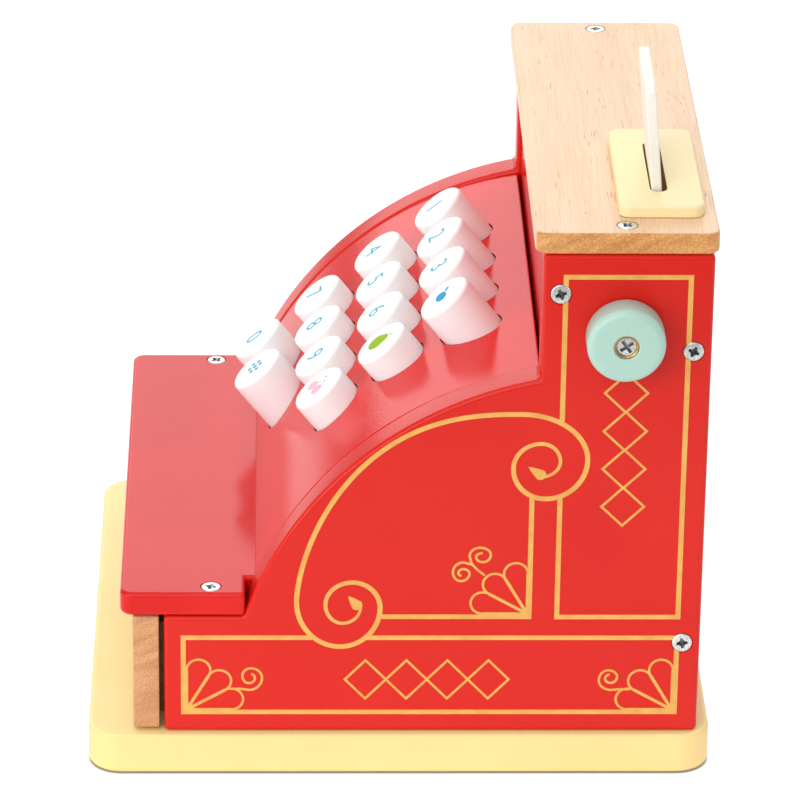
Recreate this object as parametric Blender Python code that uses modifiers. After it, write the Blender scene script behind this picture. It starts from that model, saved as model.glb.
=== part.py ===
"""Toy cash register: a painted wooden housing with sprung keys, a drawer, a bell knob and a card.

Metres, +Z up. The origin is the centre of the base board's underside. The front, with the keys and
the drawer, faces -Y, and the knob is on the +X side.
"""

import math

import bpy
from mathutils import Matrix, Vector

# Fits between the pieces
GAP = 0.0003                # between faces that touch
RUNNING = 0.0006            # round a piece that turns or slides
ROUNDING = 0.0012           # on the edges of the boards

# Base board
BASE_LENGTH = 0.220
BASE_WIDTH = 0.208
BASE_THICK = 0.015
BASE_CORNER = 0.012

# Side panels, seen from the side: a low front part, a quarter-round sweep and a tower
HOUSING_WIDTH = 0.202
SIDE_THICK = 0.013
SIDE_FRONT_SETBACK = 0.027
SIDE_BACK_SETBACK = 0.005
LOW_HEIGHT = 0.0456
LOW_DEPTH = 0.028
SWEEP_HEIGHT = 0.1368
SWEEP_RADIUS = 0.1338
TOWER_HEIGHT = 0.1834
TOWER_DEPTH = 0.0585

# Boards between and on the side panels
BOARD_THICK = 0.012
SHELF_THICK = 0.0088
SHELF_FRONT_OVERHANG = 0.0153
SHELF_SWEEP_GAP = 0.0011
SHELF_TONGUE = 0.0044
SHELF_CORNER = 0.003
CAP_THICK = 0.0077
CAP_FRONT_OVERHANG = 0.0027
CAP_BACK_OVERHANG = 0.0015
CAP_CORNER = 0.003
KEY_PANEL_THICK = 0.006
KEY_PANEL_INSET = 0.0014
KEY_PANEL_RADIUS = 0.1286
KEY_PANEL_FOOT_DROP = 0.0006
TOWER_PANEL_LAP = 0.009

# Keys: dowels along one tilted axis, with their caps in one plane
KEY_PLANE_BELOW_CHORD = math.radians(3.34)
KEY_RADIUS = 0.0104
KEY_LENGTH = 0.030
KEY_ROUNDING = 0.0015
KEY_TRAVEL = 0.005
KEY_COLUMN_PITCH = 0.0273
KEY_ROW_PITCH = 0.0282
KEY_COLUMNS_PER_ROW = (4, 4, 4, 2)
TOP_ROW_UP_CHORD = 0.0481       # from the sweep's middle to the top row, along its chord
CAPS_ABOVE_SWEEP = 0.0065       # at the top row, above the sweep's middle, square to its chord
STEM_RADIUS = 0.003
STEM_HEAD_RADIUS = 0.0045
STEM_HEAD_THICK = 0.003
KEY_BOARD_THICK = 0.006
KEY_BOARD_MARGIN = 0.012
SPRING_SOLID_LENGTH = 0.006
SPRING_RADIUS = 0.006
SPRING_WIRE = 0.0006
SPRING_TURNS = 3.5
SPRING_POINTS_PER_TURN = 8

# Countersunk wood screws
SCREW_HEAD_RADIUS = 0.0035
SCREW_HEAD_RIM = 0.0004
SCREW_HEAD_DEPTH = 0.0023
SCREW_SHANK_RADIUS = 0.0016
SCREW_LENGTH = 0.025
KNOB_SCREW_LENGTH = 0.0175
TOWER_SCREW_BELOW_TOP = 0.0144
BACK_SCREW_BELOW_TOP = 0.0357
LOW_SCREW_ABOVE_BASE = 0.0355
CAP_SCREW_FROM_INSIDE = 0.0055
SHELF_SCREW_FROM_INSIDE = 0.0074
SHELF_SCREW_FROM_FRONT = 0.0165

# Drawer
DRAWER_FRONT_THICK = 0.0082
DRAWER_FRONT_INSET = 0.0005
DRAWER_FRONT_GAP = 0.0023
DRAWER_FLOOR_GAP = 0.0015
DRAWER_SIDE_GAP = 0.0012
DRAWER_WALL = 0.006
DRAWER_BOTTOM_THICK = 0.004
DRAWER_DEPTH = 0.165
DRAWER_WALL_HEIGHT = 0.036
DRAWER_NOTCH_RADIUS = 0.012

# Knob, shaft, striker and bell
KNOB_RADIUS = 0.0135
KNOB_LENGTH = 0.0115
KNOB_ROUNDING = 0.0028
KNOB_GAP = 0.0005
KNOB_BELOW_TOP = 0.029
KNOB_BEFORE_BACK = 0.0301
KNOB_SCREW_HEAD_RADIUS = 0.0035
KNOB_SCREW_HEAD_THICK = 0.0014
KNOB_SCREW_SINK = 0.0012
SHAFT_RADIUS = 0.004
SHAFT_IN_KNOB = 0.0055
SHAFT_COLLAR_RADIUS = 0.007
SHAFT_COLLAR_THICK = 0.003
STRIKER_HUB_RADIUS = 0.007
STRIKER_HUB_LENGTH = 0.008
STRIKER_REACH = 0.012
STRIKER_BALL_RADIUS = 0.003
STRIKER_ARM_RADIUS = 0.0018
STRIKER_FROM_SIDE = 0.020
BELL_RADIUS = 0.016
BELL_LENGTH = 0.018
BELL_SKIRT = 0.006
BELL_WALL = 0.0012
BELL_CLEARANCE = 0.0008
BELL_FROM_BACK = 0.0024
POST_RADIUS = 0.003
POST_FLANGE_RADIUS = 0.005
POST_FLANGE_THICK = 0.0015
POST_PIN_RADIUS = 0.0015
POST_HEAD_THICK = 0.002

# Card and the block that it stands in
BLOCK_WIDTH = 0.0713
BLOCK_DEPTH = 0.0292
BLOCK_HEIGHT = 0.0040
BLOCK_CORNER = 0.004
BLOCK_FROM_SIDE = 0.0136
BLOCK_FROM_BACK = 0.0045
SLOT_LENGTH = 0.045
SLOT_WIDTH = 0.0054
SLOT_BEHIND_MIDDLE = -0.0001
SLOT_DEPTH_IN_CAP = 0.005
CARD_WIDTH = 0.041
CARD_THICK = 0.0036
CARD_STANDS_PROUD = 0.0375
CARD_LEAN = math.radians(4.0)
CARD_CORNER = 0.003

# Facets
ROUND_STEPS = 24
KEY_STEPS = 20
SMALL_STEPS = 12
CORNER_STEPS = 4
SWEEP_STEPS = 20

# Places worked out from the sizes above
BASE_TOP = BASE_THICK
HALF_HOUSING = HOUSING_WIDTH / 2
SIDE_INNER = HALF_HOUSING - SIDE_THICK
SIDE_BOTTOM = BASE_TOP + GAP
SIDE_FRONT = -BASE_LENGTH / 2 + SIDE_FRONT_SETBACK
SIDE_BACK = BASE_LENGTH / 2 - SIDE_BACK_SETBACK
LOW_TOP = BASE_TOP + LOW_HEIGHT
SWEEP_FOOT = Vector((SIDE_FRONT + LOW_DEPTH, LOW_TOP))
TOWER_FRONT = SIDE_BACK - TOWER_DEPTH
SWEEP_TOP = Vector((TOWER_FRONT, BASE_TOP + SWEEP_HEIGHT))
TOWER_TOP = BASE_TOP + TOWER_HEIGHT
SHELF_BOTTOM = LOW_TOP + GAP
SHELF_TOP = SHELF_BOTTOM + SHELF_THICK
SHELF_FRONT = SIDE_FRONT - SHELF_FRONT_OVERHANG
SHELF_REAR = SWEEP_FOOT.x - SHELF_SWEEP_GAP
TONGUE_REAR = SHELF_REAR + SHELF_TONGUE
PANEL_FRONT = TOWER_FRONT + GAP
BACK_INNER = SIDE_BACK - GAP - BOARD_THICK
BETWEEN_SIDES = 2 * (SIDE_INNER - GAP)
CAP_BOTTOM = TOWER_TOP + GAP
CAP_TOP = CAP_BOTTOM + CAP_THICK
CAP_FRONT = TOWER_FRONT - CAP_FRONT_OVERHANG
CAP_BACK = SIDE_BACK + CAP_BACK_OVERHANG
KNOB_Y = SIDE_BACK - KNOB_BEFORE_BACK
KNOB_Z = TOWER_TOP - KNOB_BELOW_TOP
KNOB_INNER = HALF_HOUSING + KNOB_GAP
CHORD = (SWEEP_TOP - SWEEP_FOOT).normalized()
CHORD_NORMAL = Vector((-CHORD.y, CHORD.x))
CHORD_DISTANCE = math.sqrt(SWEEP_RADIUS ** 2 - (SWEEP_TOP - SWEEP_FOOT).length_squared / 4)
SWEEP_MIDDLE = (SWEEP_FOOT + SWEEP_TOP) / 2 + CHORD_NORMAL * (SWEEP_RADIUS - CHORD_DISTANCE)
KEY_TILT = math.atan2(CHORD.y, CHORD.x) - KEY_PLANE_BELOW_CHORD
KEY_AXIS = Vector((0, -math.sin(KEY_TILT), math.cos(KEY_TILT)))
ROW_STEP = Vector((0, -math.cos(KEY_TILT), -math.sin(KEY_TILT))) * KEY_ROW_PITCH
TOP_CAPS = SWEEP_MIDDLE + CHORD * TOP_ROW_UP_CHORD + CHORD_NORMAL * CAPS_ABOVE_SWEEP
TOP_ROW = Vector((0, *TOP_CAPS))
SPRING_ROOM = KEY_TRAVEL + SPRING_SOLID_LENGTH
KEY_BOARD_TOP = KEY_LENGTH + SPRING_ROOM


def linear(value):
    """One sRGB channel, 0 to 255, as the linear value a shader takes."""
    share = value / 255
    return share / 12.92 if share <= 0.04045 else ((share + 0.055) / 1.055) ** 2.4


def finish(name, rgb, roughness, metallic=0.0):
    made = bpy.data.materials.new(name)
    made.use_nodes = True
    shader = made.node_tree.nodes["Principled BSDF"]
    shader.inputs["Base Color"].default_value = (*(linear(channel) for channel in rgb), 1)
    shader.inputs["Roughness"].default_value = roughness
    shader.inputs["Metallic"].default_value = metallic
    return made


def into(collection, piece):
    for holder in piece.users_collection:
        holder.objects.unlink(piece)
    collection.objects.link(piece)


def part(piece, name, material):
    """Names a finished piece, paints it and puts it with the register's other pieces."""
    piece.name = name
    piece.data.name = name
    piece.data.materials.clear()
    piece.data.materials.append(material)
    into(register, piece)
    return piece


def block(low, high):
    """A box between two corners."""
    low, high = Vector(low), Vector(high)
    bpy.ops.mesh.primitive_cube_add(size=1, location=(low + high) / 2)
    piece = bpy.context.object
    piece.data.transform(Matrix.Diagonal((*(high - low), 1)))
    return piece


def arc(centre, radius, start, end, steps):
    """Points along an arc, both ends included; angles in degrees."""
    angles = [math.radians(start + (end - start) * step / steps) for step in range(steps + 1)]
    return [(centre[0] + radius * math.cos(a), centre[1] + radius * math.sin(a)) for a in angles]


def rounded_corners(corners, radius):
    """An outline's convex corners, each given as (x, y, angle where its arc starts)."""
    return [
        point
        for x, y, start in corners
        for point in arc((x, y), radius, start, start + 90, CORNER_STEPS)
    ]


def rounded_rectangle(left, right, front, back, radius):
    inner = (left + radius, right - radius, front + radius, back - radius)
    corners = ((inner[1], inner[3], 0), (inner[0], inner[3], 90), (inner[0], inner[2], 180))
    return rounded_corners(corners + ((inner[1], inner[2], 270),), radius)


def cut_from_board(outline, thickness, matrix):
    """A flat outline, drawn about its middle plane, as a closed mesh of a given thickness."""
    curve = bpy.data.curves.new("outline", "CURVE")
    curve.dimensions = "2D"
    curve.fill_mode = "BOTH"
    curve.extrude = thickness / 2
    spline = curve.splines.new("POLY")
    spline.points.add(len(outline) - 1)
    for point, (x, y) in zip(spline.points, outline):
        point.co = (x, y, 0, 1)
    spline.use_cyclic_u = True
    drawn = bpy.data.objects.new("outline", curve)
    bpy.context.scene.collection.objects.link(drawn)
    return as_mesh(drawn, matrix)


def as_mesh(drawn, matrix):
    """A curve object's evaluated shape as a mesh object, with its loose caps welded on."""
    evaluated = drawn.evaluated_get(bpy.context.evaluated_depsgraph_get())
    mesh = bpy.data.meshes.new_from_object(evaluated)
    bpy.data.objects.remove(drawn)
    piece = bpy.data.objects.new("board", mesh)
    bpy.context.scene.collection.objects.link(piece)
    piece.matrix_world = matrix
    weld(piece)
    return piece


def weld(piece):
    bpy.ops.object.select_all(action="DESELECT")
    bpy.context.view_layer.objects.active = piece
    piece.select_set(True)
    bpy.ops.object.mode_set(mode="EDIT")
    bpy.ops.mesh.select_all(action="SELECT")
    bpy.ops.mesh.remove_doubles(threshold=1e-5)
    bpy.ops.mesh.normals_make_consistent(inside=False)
    bpy.ops.object.mode_set(mode="OBJECT")


def side_on(x):
    """Places an outline drawn in Y and Z at one X."""
    return Matrix(((0, 0, 1, x), (1, 0, 0, 0), (0, 1, 0, 0), (0, 0, 0, 1)))


def turned(profile, steps, closed=False):
    """A profile of (radius, height) points spun round the local Z axis, outer side from top down."""
    mesh = bpy.data.meshes.new("profile")
    edges = [(step, step + 1) for step in range(len(profile) - 1)]
    if closed:
        edges.append((len(profile) - 1, 0))
    mesh.from_pydata([(radius, 0, height) for radius, height in profile], edges, [])
    piece = bpy.data.objects.new("turned", mesh)
    bpy.context.scene.collection.objects.link(piece)
    spin = piece.modifiers.new("spin", "SCREW")
    spin.steps = steps
    spin.render_steps = steps
    spin.use_merge_vertices = True
    spin.merge_threshold = 1e-6
    spin.use_smooth_shade = True
    return piece


def rounded(piece, width, segments=2):
    bevel = piece.modifiers.new("rounded edges", "BEVEL")
    bevel.width = width
    bevel.segments = segments
    bevel.limit_method = "ANGLE"
    bevel.angle_limit = math.radians(40)
    return piece


def combine(piece, tool, operation):
    """Cuts a piece with a tool, or joins the tool to it."""
    boolean = piece.modifiers.new("shape with " + tool.name, "BOOLEAN")
    boolean.operation = operation
    boolean.solver = "EXACT"
    boolean.object = tool


def as_tool(piece, name):
    piece.name = name
    piece.hide_render = True
    piece.display_type = "WIRE"
    into(cutters, piece)
    return piece


def drill(name, radius, start, end, steps=ROUND_STEPS):
    """A straight round cutter between two points."""
    start, end = Vector(start), Vector(end)
    along = end - start
    bpy.ops.mesh.primitive_cylinder_add(vertices=steps, radius=radius, depth=along.length)
    piece = bpy.context.object
    piece.location = (start + end) / 2
    piece.rotation_euler = along.to_track_quat("Z", "Y").to_euler()
    return as_tool(piece, name)


def arc_centre(start, end, radius):
    """Centre of the arc that bulges up and to the front, from start up to end, in Y and Z."""
    chord = end - start
    away = math.sqrt(radius * radius - chord.length_squared / 4)
    return (start + end) / 2 + Vector((chord.y, -chord.x)).normalized() * away


def sweep(start, end, radius, centre):
    """Points along that arc, from its foot to its top."""
    first, last = (math.degrees(math.atan2(*(point - centre).yx)) for point in (start, end))
    return arc(centre, radius, first, last, SWEEP_STEPS)


# Base and housing

def make_base_board():
    outline = rounded_rectangle(
        -BASE_WIDTH / 2, BASE_WIDTH / 2, -BASE_LENGTH / 2, BASE_LENGTH / 2, BASE_CORNER
    )
    piece = cut_from_board(outline, BASE_THICK, Matrix.Translation((0, 0, BASE_THICK / 2)))
    return part(rounded(piece, ROUNDING), "base_board", cream_paint)


def side_outline():
    centre = arc_centre(SWEEP_FOOT, SWEEP_TOP, SWEEP_RADIUS)
    low_front = [(SIDE_FRONT, LOW_TOP), (SIDE_FRONT, SIDE_BOTTOM)]
    back = [(SIDE_BACK, SIDE_BOTTOM), (SIDE_BACK, TOWER_TOP), (TOWER_FRONT, TOWER_TOP)]
    return low_front + back + sweep(SWEEP_FOOT, SWEEP_TOP, SWEEP_RADIUS, centre)[::-1]


def make_side_panel(name, side):
    middle = side * (HALF_HOUSING - SIDE_THICK / 2)
    piece = cut_from_board(side_outline(), SIDE_THICK, side_on(middle))
    rounded(piece, ROUNDING)
    for place in side_screw_places():
        combine(piece, screw_hole(place, side), "DIFFERENCE")
    for end in (cap_screw_place(side), shelf_screw_place(side)):
        combine(piece, pilot_hole(end, (0, 0, -1)), "DIFFERENCE")
    if side > 0:
        reach = 2 * SIDE_THICK
        bearing = drill(
            "shaft bearing",
            SHAFT_RADIUS + RUNNING,
            (middle - reach, KNOB_Y, KNOB_Z),
            (middle + reach, KNOB_Y, KNOB_Z),
        )
        combine(piece, bearing, "DIFFERENCE")
    return part(piece, name, red_paint)


def make_back_panel():
    low = (-BETWEEN_SIDES / 2, BACK_INNER, SIDE_BOTTOM)
    piece = rounded(block(low, (BETWEEN_SIDES / 2, SIDE_BACK - GAP, TOWER_TOP - GAP)), ROUNDING / 2)
    for side in (-1, 1):
        for place in side_screw_places()[1:]:
            combine(piece, pilot_hole((side * HALF_HOUSING, *place), (-side, 0, 0)), "DIFFERENCE")
    return part(piece, "back_panel", red_paint)


def make_tower_front_panel():
    low = (-BETWEEN_SIDES / 2, PANEL_FRONT, SWEEP_TOP.y - KEY_PANEL_INSET - TOWER_PANEL_LAP)
    high = (BETWEEN_SIDES / 2, PANEL_FRONT + BOARD_THICK, TOWER_TOP - GAP)
    piece = rounded(block(low, high), ROUNDING / 2)
    for side in (-1, 1):
        place = side_screw_places()[0]
        combine(piece, pilot_hole((side * HALF_HOUSING, *place), (-side, 0, 0)), "DIFFERENCE")
    return part(piece, "tower_front_panel", red_paint)


def make_front_shelf():
    half, inner = HALF_HOUSING, SIDE_INNER - GAP
    front = SHELF_FRONT + SHELF_CORNER
    corners = ((-half + SHELF_CORNER, front, 180), (half - SHELF_CORNER, front, 270))
    outline = rounded_corners(corners, SHELF_CORNER)
    outline += [(half, SHELF_REAR), (inner, SHELF_REAR), (inner, TONGUE_REAR)]
    outline += [(-inner, TONGUE_REAR), (-inner, SHELF_REAR), (-half, SHELF_REAR)]
    middle = Matrix.Translation((0, 0, (SHELF_BOTTOM + SHELF_TOP) / 2))
    piece = rounded(cut_from_board(outline, SHELF_THICK, middle), ROUNDING)
    for side in (-1, 1):
        combine(piece, countersink(shelf_screw_place(side)), "DIFFERENCE")
    return part(piece, "front_shelf", red_paint)


def make_top_cap():
    outline = rounded_rectangle(-HALF_HOUSING, HALF_HOUSING, CAP_FRONT, CAP_BACK, CAP_CORNER)
    middle = Matrix.Translation((0, 0, (CAP_BOTTOM + CAP_TOP) / 2))
    piece = rounded(cut_from_board(outline, CAP_THICK, middle), ROUNDING)
    for side in (-1, 1):
        combine(piece, countersink(cap_screw_place(side)), "DIFFERENCE")
    combine(piece, slot_cutter(), "DIFFERENCE")
    return part(piece, "top_cap", bare_wood)


def make_key_panel():
    """The curved panel that the keys come through, with a foot behind the shelf."""
    foot = Vector((TONGUE_REAR + GAP, SHELF_TOP - KEY_PANEL_FOOT_DROP))
    top = Vector((TOWER_FRONT, SWEEP_TOP.y - KEY_PANEL_INSET))
    centre = arc_centre(foot, top, KEY_PANEL_RADIUS)
    outer = sweep(foot, top, KEY_PANEL_RADIUS, centre)
    inner_radius = KEY_PANEL_RADIUS - KEY_PANEL_THICK
    inner_foot = centre + inner_point(centre, inner_radius, height=SHELF_BOTTOM)
    inner_top = centre + inner_point(centre, inner_radius, depth=TOWER_FRONT)
    inner = sweep(inner_foot, inner_top, inner_radius, centre)
    outline = [(foot.x, SHELF_BOTTOM)] + inner + outer[::-1]
    piece = cut_from_board(outline, BETWEEN_SIDES, side_on(0))
    for cap in key_places():
        end = cap - KEY_AXIS * 2 * KEY_LENGTH
        hole = drill("key hole", KEY_RADIUS + RUNNING, cap, end, KEY_STEPS)
        combine(piece, hole, "DIFFERENCE")
    return part(piece, "key_panel", red_paint)


def inner_point(centre, radius, height=None, depth=None):
    """Where an arc about a centre reaches a height in front of it, or a depth above it."""
    if height is not None:
        rise = height - centre.y
        return Vector((-math.sqrt(radius * radius - rise * rise), rise))
    run = depth - centre.x
    return Vector((run, math.sqrt(radius * radius - run * run)))


def make_key_board():
    """The flat inner board, square to the keys, that their springs press on."""
    rows = ROW_STEP.length * (len(KEY_COLUMNS_PER_ROW) - 1)
    length = rows + 2 * KEY_BOARD_MARGIN
    bpy.ops.mesh.primitive_cube_add(size=1)
    piece = bpy.context.object
    piece.data.transform(Matrix.Diagonal((BETWEEN_SIDES, length, KEY_BOARD_THICK, 1)))
    sink = KEY_BOARD_TOP + KEY_BOARD_THICK / 2
    piece.location = TOP_ROW + ROW_STEP.normalized() * rows / 2 - KEY_AXIS * sink
    piece.rotation_euler.x = KEY_TILT
    for cap in key_places():
        start, end = cap - KEY_AXIS * KEY_LENGTH, cap - KEY_AXIS * 2 * KEY_LENGTH
        hole = drill("stem hole", STEM_RADIUS + RUNNING, start, end, SMALL_STEPS)
        combine(piece, hole, "DIFFERENCE")
    return part(piece, "key_board", raw_wood)


# Keys and their springs

def key_places():
    """Centre of each key's cap, row by row from the top, each from the side without the knob."""
    half = (max(KEY_COLUMNS_PER_ROW) - 1) / 2
    return [
        TOP_ROW + ROW_STEP * row + Vector(((column - half) * KEY_COLUMN_PITCH, 0, 0))
        for row, columns in enumerate(KEY_COLUMNS_PER_ROW)
        for column in range(columns)
    ]


def make_keys():
    """Each key is a dowel with a thin stem, held under the key board by the stem's head."""
    shoulder = arc((KEY_RADIUS - KEY_ROUNDING, -KEY_ROUNDING), KEY_ROUNDING, 90, 0, 2)
    head_top = -(KEY_BOARD_TOP + KEY_BOARD_THICK + GAP)
    head_bottom = head_top - STEM_HEAD_THICK
    profile = [(0, 0)] + shoulder + [
        (KEY_RADIUS, -KEY_LENGTH),
        (STEM_RADIUS, -KEY_LENGTH),
        (STEM_RADIUS, head_top),
        (STEM_HEAD_RADIUS, head_top),
        (STEM_HEAD_RADIUS, head_bottom),
        (0, head_bottom),
    ]
    for number, cap in enumerate(key_places(), 1):
        piece = turned(profile, KEY_STEPS)
        piece.location = cap
        piece.rotation_euler.x = KEY_TILT
        part(piece, f"key_{number:02d}", white_paint)


def make_springs():
    low = -KEY_BOARD_TOP + GAP + SPRING_WIRE
    high = -KEY_LENGTH - GAP - SPRING_WIRE
    count = round(SPRING_TURNS * SPRING_POINTS_PER_TURN)
    for number, cap in enumerate(key_places(), 1):
        curve = bpy.data.curves.new("coil", "CURVE")
        curve.dimensions = "3D"
        curve.bevel_depth = SPRING_WIRE
        curve.bevel_resolution = 0
        curve.use_fill_caps = True
        spline = curve.splines.new("POLY")
        spline.points.add(count)
        for step, point in enumerate(spline.points):
            turn = 2 * math.pi * step / SPRING_POINTS_PER_TURN
            height = low + (high - low) * step / count
            point.co = (SPRING_RADIUS * math.cos(turn), SPRING_RADIUS * math.sin(turn), height, 1)
        drawn = bpy.data.objects.new("coil", curve)
        bpy.context.scene.collection.objects.link(drawn)
        place = Matrix.Translation(cap) @ Matrix.Rotation(KEY_TILT, 4, "X")
        part(as_mesh(drawn, place), f"key_spring_{number:02d}", steel)


# Screws

def side_screw_places():
    """(Y, Z) of a side panel's screws: tower front, tower back and low back."""
    back = (BACK_INNER + SIDE_BACK - GAP) / 2
    front = PANEL_FRONT + BOARD_THICK / 2
    tower = (front, TOWER_TOP - TOWER_SCREW_BELOW_TOP)
    upper, lower = TOWER_TOP - BACK_SCREW_BELOW_TOP, BASE_TOP + LOW_SCREW_ABOVE_BASE
    return (tower, (back, upper), (back, lower))


def cap_screw_place(side):
    return (side * (SIDE_INNER + CAP_SCREW_FROM_INSIDE), (CAP_FRONT + CAP_BACK) / 2, CAP_TOP)


def shelf_screw_place(side):
    x = side * (SIDE_INNER + SHELF_SCREW_FROM_INSIDE)
    return (x, SIDE_FRONT + SHELF_SCREW_FROM_FRONT, SHELF_TOP)


def screw_profile(play=0.0):
    """A countersunk screw under its head's flat top, made larger all round by the play."""
    head, shank = SCREW_HEAD_RADIUS + play, SCREW_SHANK_RADIUS + play
    tip = SCREW_LENGTH + play
    rim = SCREW_HEAD_RIM + play / 2
    point = 2 * shank
    neck = SCREW_HEAD_DEPTH + play / 2
    return [(0, 0), (head, 0), (head, -rim), (shank, -neck), (shank, point - tip), (0, -tip)]


def facing(direction):
    """Turns local +Z to a direction."""
    return Vector(direction).to_track_quat("Z", "Y").to_euler()


def hole_cutter(place, outward, profile):
    piece = turned(profile, SMALL_STEPS)
    piece.location = place
    piece.rotation_euler = facing(outward)
    return as_tool(piece, "screw hole")


def open_screw_profile():
    """The hole for a screw, with its countersink carried on out of the surface."""
    profile = screw_profile(GAP)
    mouth = (profile[1][0], GAP)
    return [(0, GAP), mouth] + profile[2:]


def screw_hole(place, side):
    return hole_cutter((side * HALF_HOUSING, *place), (side, 0, 0), open_screw_profile())


def countersink(place):
    return hole_cutter(place, (0, 0, 1), open_screw_profile())


def pilot_hole(place, inward):
    """The hole for a screw's shank in the board behind the one that holds its head."""
    return hole_cutter(place, [-axis for axis in inward], open_screw_profile())


def make_screws():
    places = []
    for side, hand in ((1, "right"), (-1, "left")):
        for number, place in enumerate(side_screw_places(), 1):
            spot = (side * HALF_HOUSING, *place)
            places.append((f"{hand}_side_screw_{number}", spot, (side, 0, 0)))
        places.append((f"{hand}_cap_screw", cap_screw_place(side), (0, 0, 1)))
        places.append((f"{hand}_shelf_screw", shelf_screw_place(side), (0, 0, 1)))
    for name, place, outward in places:
        piece = turned(screw_profile(), SMALL_STEPS)
        piece.location = place
        piece.rotation_euler = facing(outward)
        part(piece, name, zinc)


# Drawer

def drawer_sizes():
    half = SIDE_INNER - DRAWER_SIDE_GAP
    back_of_front = SIDE_FRONT - DRAWER_FRONT_GAP
    floor = BASE_TOP + GAP + GAP
    return half, back_of_front, floor


def make_drawer():
    half, back_of_front, floor = drawer_sizes()
    width = HALF_HOUSING - DRAWER_FRONT_INSET
    front_low = (-width, back_of_front - DRAWER_FRONT_THICK, BASE_TOP + DRAWER_FLOOR_GAP)
    front_high = (width, back_of_front, SHELF_BOTTOM - GAP - GAP)
    front = rounded(block(front_low, front_high), ROUNDING / 2)
    notch = drill(
        "finger notch",
        DRAWER_NOTCH_RADIUS,
        (0, front_low[1] - DRAWER_FRONT_THICK, front_high[2]),
        (0, front_high[1] + DRAWER_FRONT_THICK, front_high[2]),
    )
    combine(front, notch, "DIFFERENCE")
    part(front, "drawer_front", bare_wood)

    box_front, box_back = back_of_front + GAP, back_of_front + DRAWER_DEPTH
    top = floor + DRAWER_WALL_HEIGHT
    for name, side in (("drawer_right_side", 1), ("drawer_left_side", -1)):
        xs = sorted((side * half, side * (half - DRAWER_WALL)))
        part(block((xs[0], box_front, floor), (xs[1], box_back, top)), name, raw_wood)
    inner = half - DRAWER_WALL - GAP
    back_low = (-inner, box_back - DRAWER_WALL, floor)
    part(block(back_low, (inner, box_back, top)), "drawer_back", raw_wood)
    bottom_high = (inner, box_back - DRAWER_WALL - GAP, floor + DRAWER_BOTTOM_THICK)
    part(block((-inner, box_front, floor), bottom_high), "drawer_bottom", raw_wood)


# Knob and bell

def on_knob_axis(piece):
    """Places a turned piece on the knob's axis, with height 0 at the knob's inner face."""
    piece.location = (KNOB_INNER, KNOB_Y, KNOB_Z)
    piece.rotation_euler.y = math.pi / 2
    return piece


def make_knob():
    sink = KNOB_LENGTH - KNOB_SCREW_SINK
    seat = sink - KNOB_SCREW_HEAD_THICK - GAP
    head_room = KNOB_SCREW_HEAD_RADIUS + GAP
    hole = SCREW_SHANK_RADIUS + GAP
    socket = SHAFT_RADIUS + GAP
    shoulder_centre = (KNOB_RADIUS - KNOB_ROUNDING, KNOB_LENGTH - KNOB_ROUNDING)
    profile = [(head_room, KNOB_LENGTH)] + arc(shoulder_centre, KNOB_ROUNDING, 90, 0, 4) + [
        (KNOB_RADIUS, ROUNDING),
        (KNOB_RADIUS - ROUNDING, 0),
        (socket, 0),
        (socket, SHAFT_IN_KNOB + GAP),
        (hole, SHAFT_IN_KNOB + GAP),
        (hole, seat),
        (head_room, seat),
    ]
    part(on_knob_axis(turned(profile, ROUND_STEPS, closed=True)), "knob", mint_paint)
    under_head = sink - KNOB_SCREW_HEAD_THICK
    screw_end = under_head - KNOB_SCREW_LENGTH
    screw = [(0, sink), (KNOB_SCREW_HEAD_RADIUS, sink), (KNOB_SCREW_HEAD_RADIUS, under_head)]
    screw += [(SCREW_SHANK_RADIUS, under_head), (SCREW_SHANK_RADIUS, screw_end), (0, screw_end)]
    part(on_knob_axis(turned(screw, SMALL_STEPS)), "knob_screw", zinc)
    return screw_end


def make_shaft(screw_end):
    """The dowel that the knob turns, kept in place by its collar and the knob."""
    hole = SCREW_SHANK_RADIUS + GAP
    hole_end = screw_end - GAP
    collar_top = SIDE_INNER - RUNNING - KNOB_INNER
    collar_bottom = collar_top - SHAFT_COLLAR_THICK
    inner_end = striker_middle() - STRIKER_HUB_LENGTH / 2 - KNOB_INNER - RUNNING
    profile = [
        (0, hole_end),
        (hole, hole_end),
        (hole, SHAFT_IN_KNOB),
        (SHAFT_RADIUS, SHAFT_IN_KNOB),
        (SHAFT_RADIUS, collar_top),
        (SHAFT_COLLAR_RADIUS, collar_top),
        (SHAFT_COLLAR_RADIUS, collar_bottom),
        (SHAFT_RADIUS, collar_bottom),
        (SHAFT_RADIUS, inner_end),
        (0, inner_end),
    ]
    part(on_knob_axis(turned(profile, ROUND_STEPS)), "knob_shaft", raw_wood)


def striker_middle():
    return SIDE_INNER - STRIKER_FROM_SIDE


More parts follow.
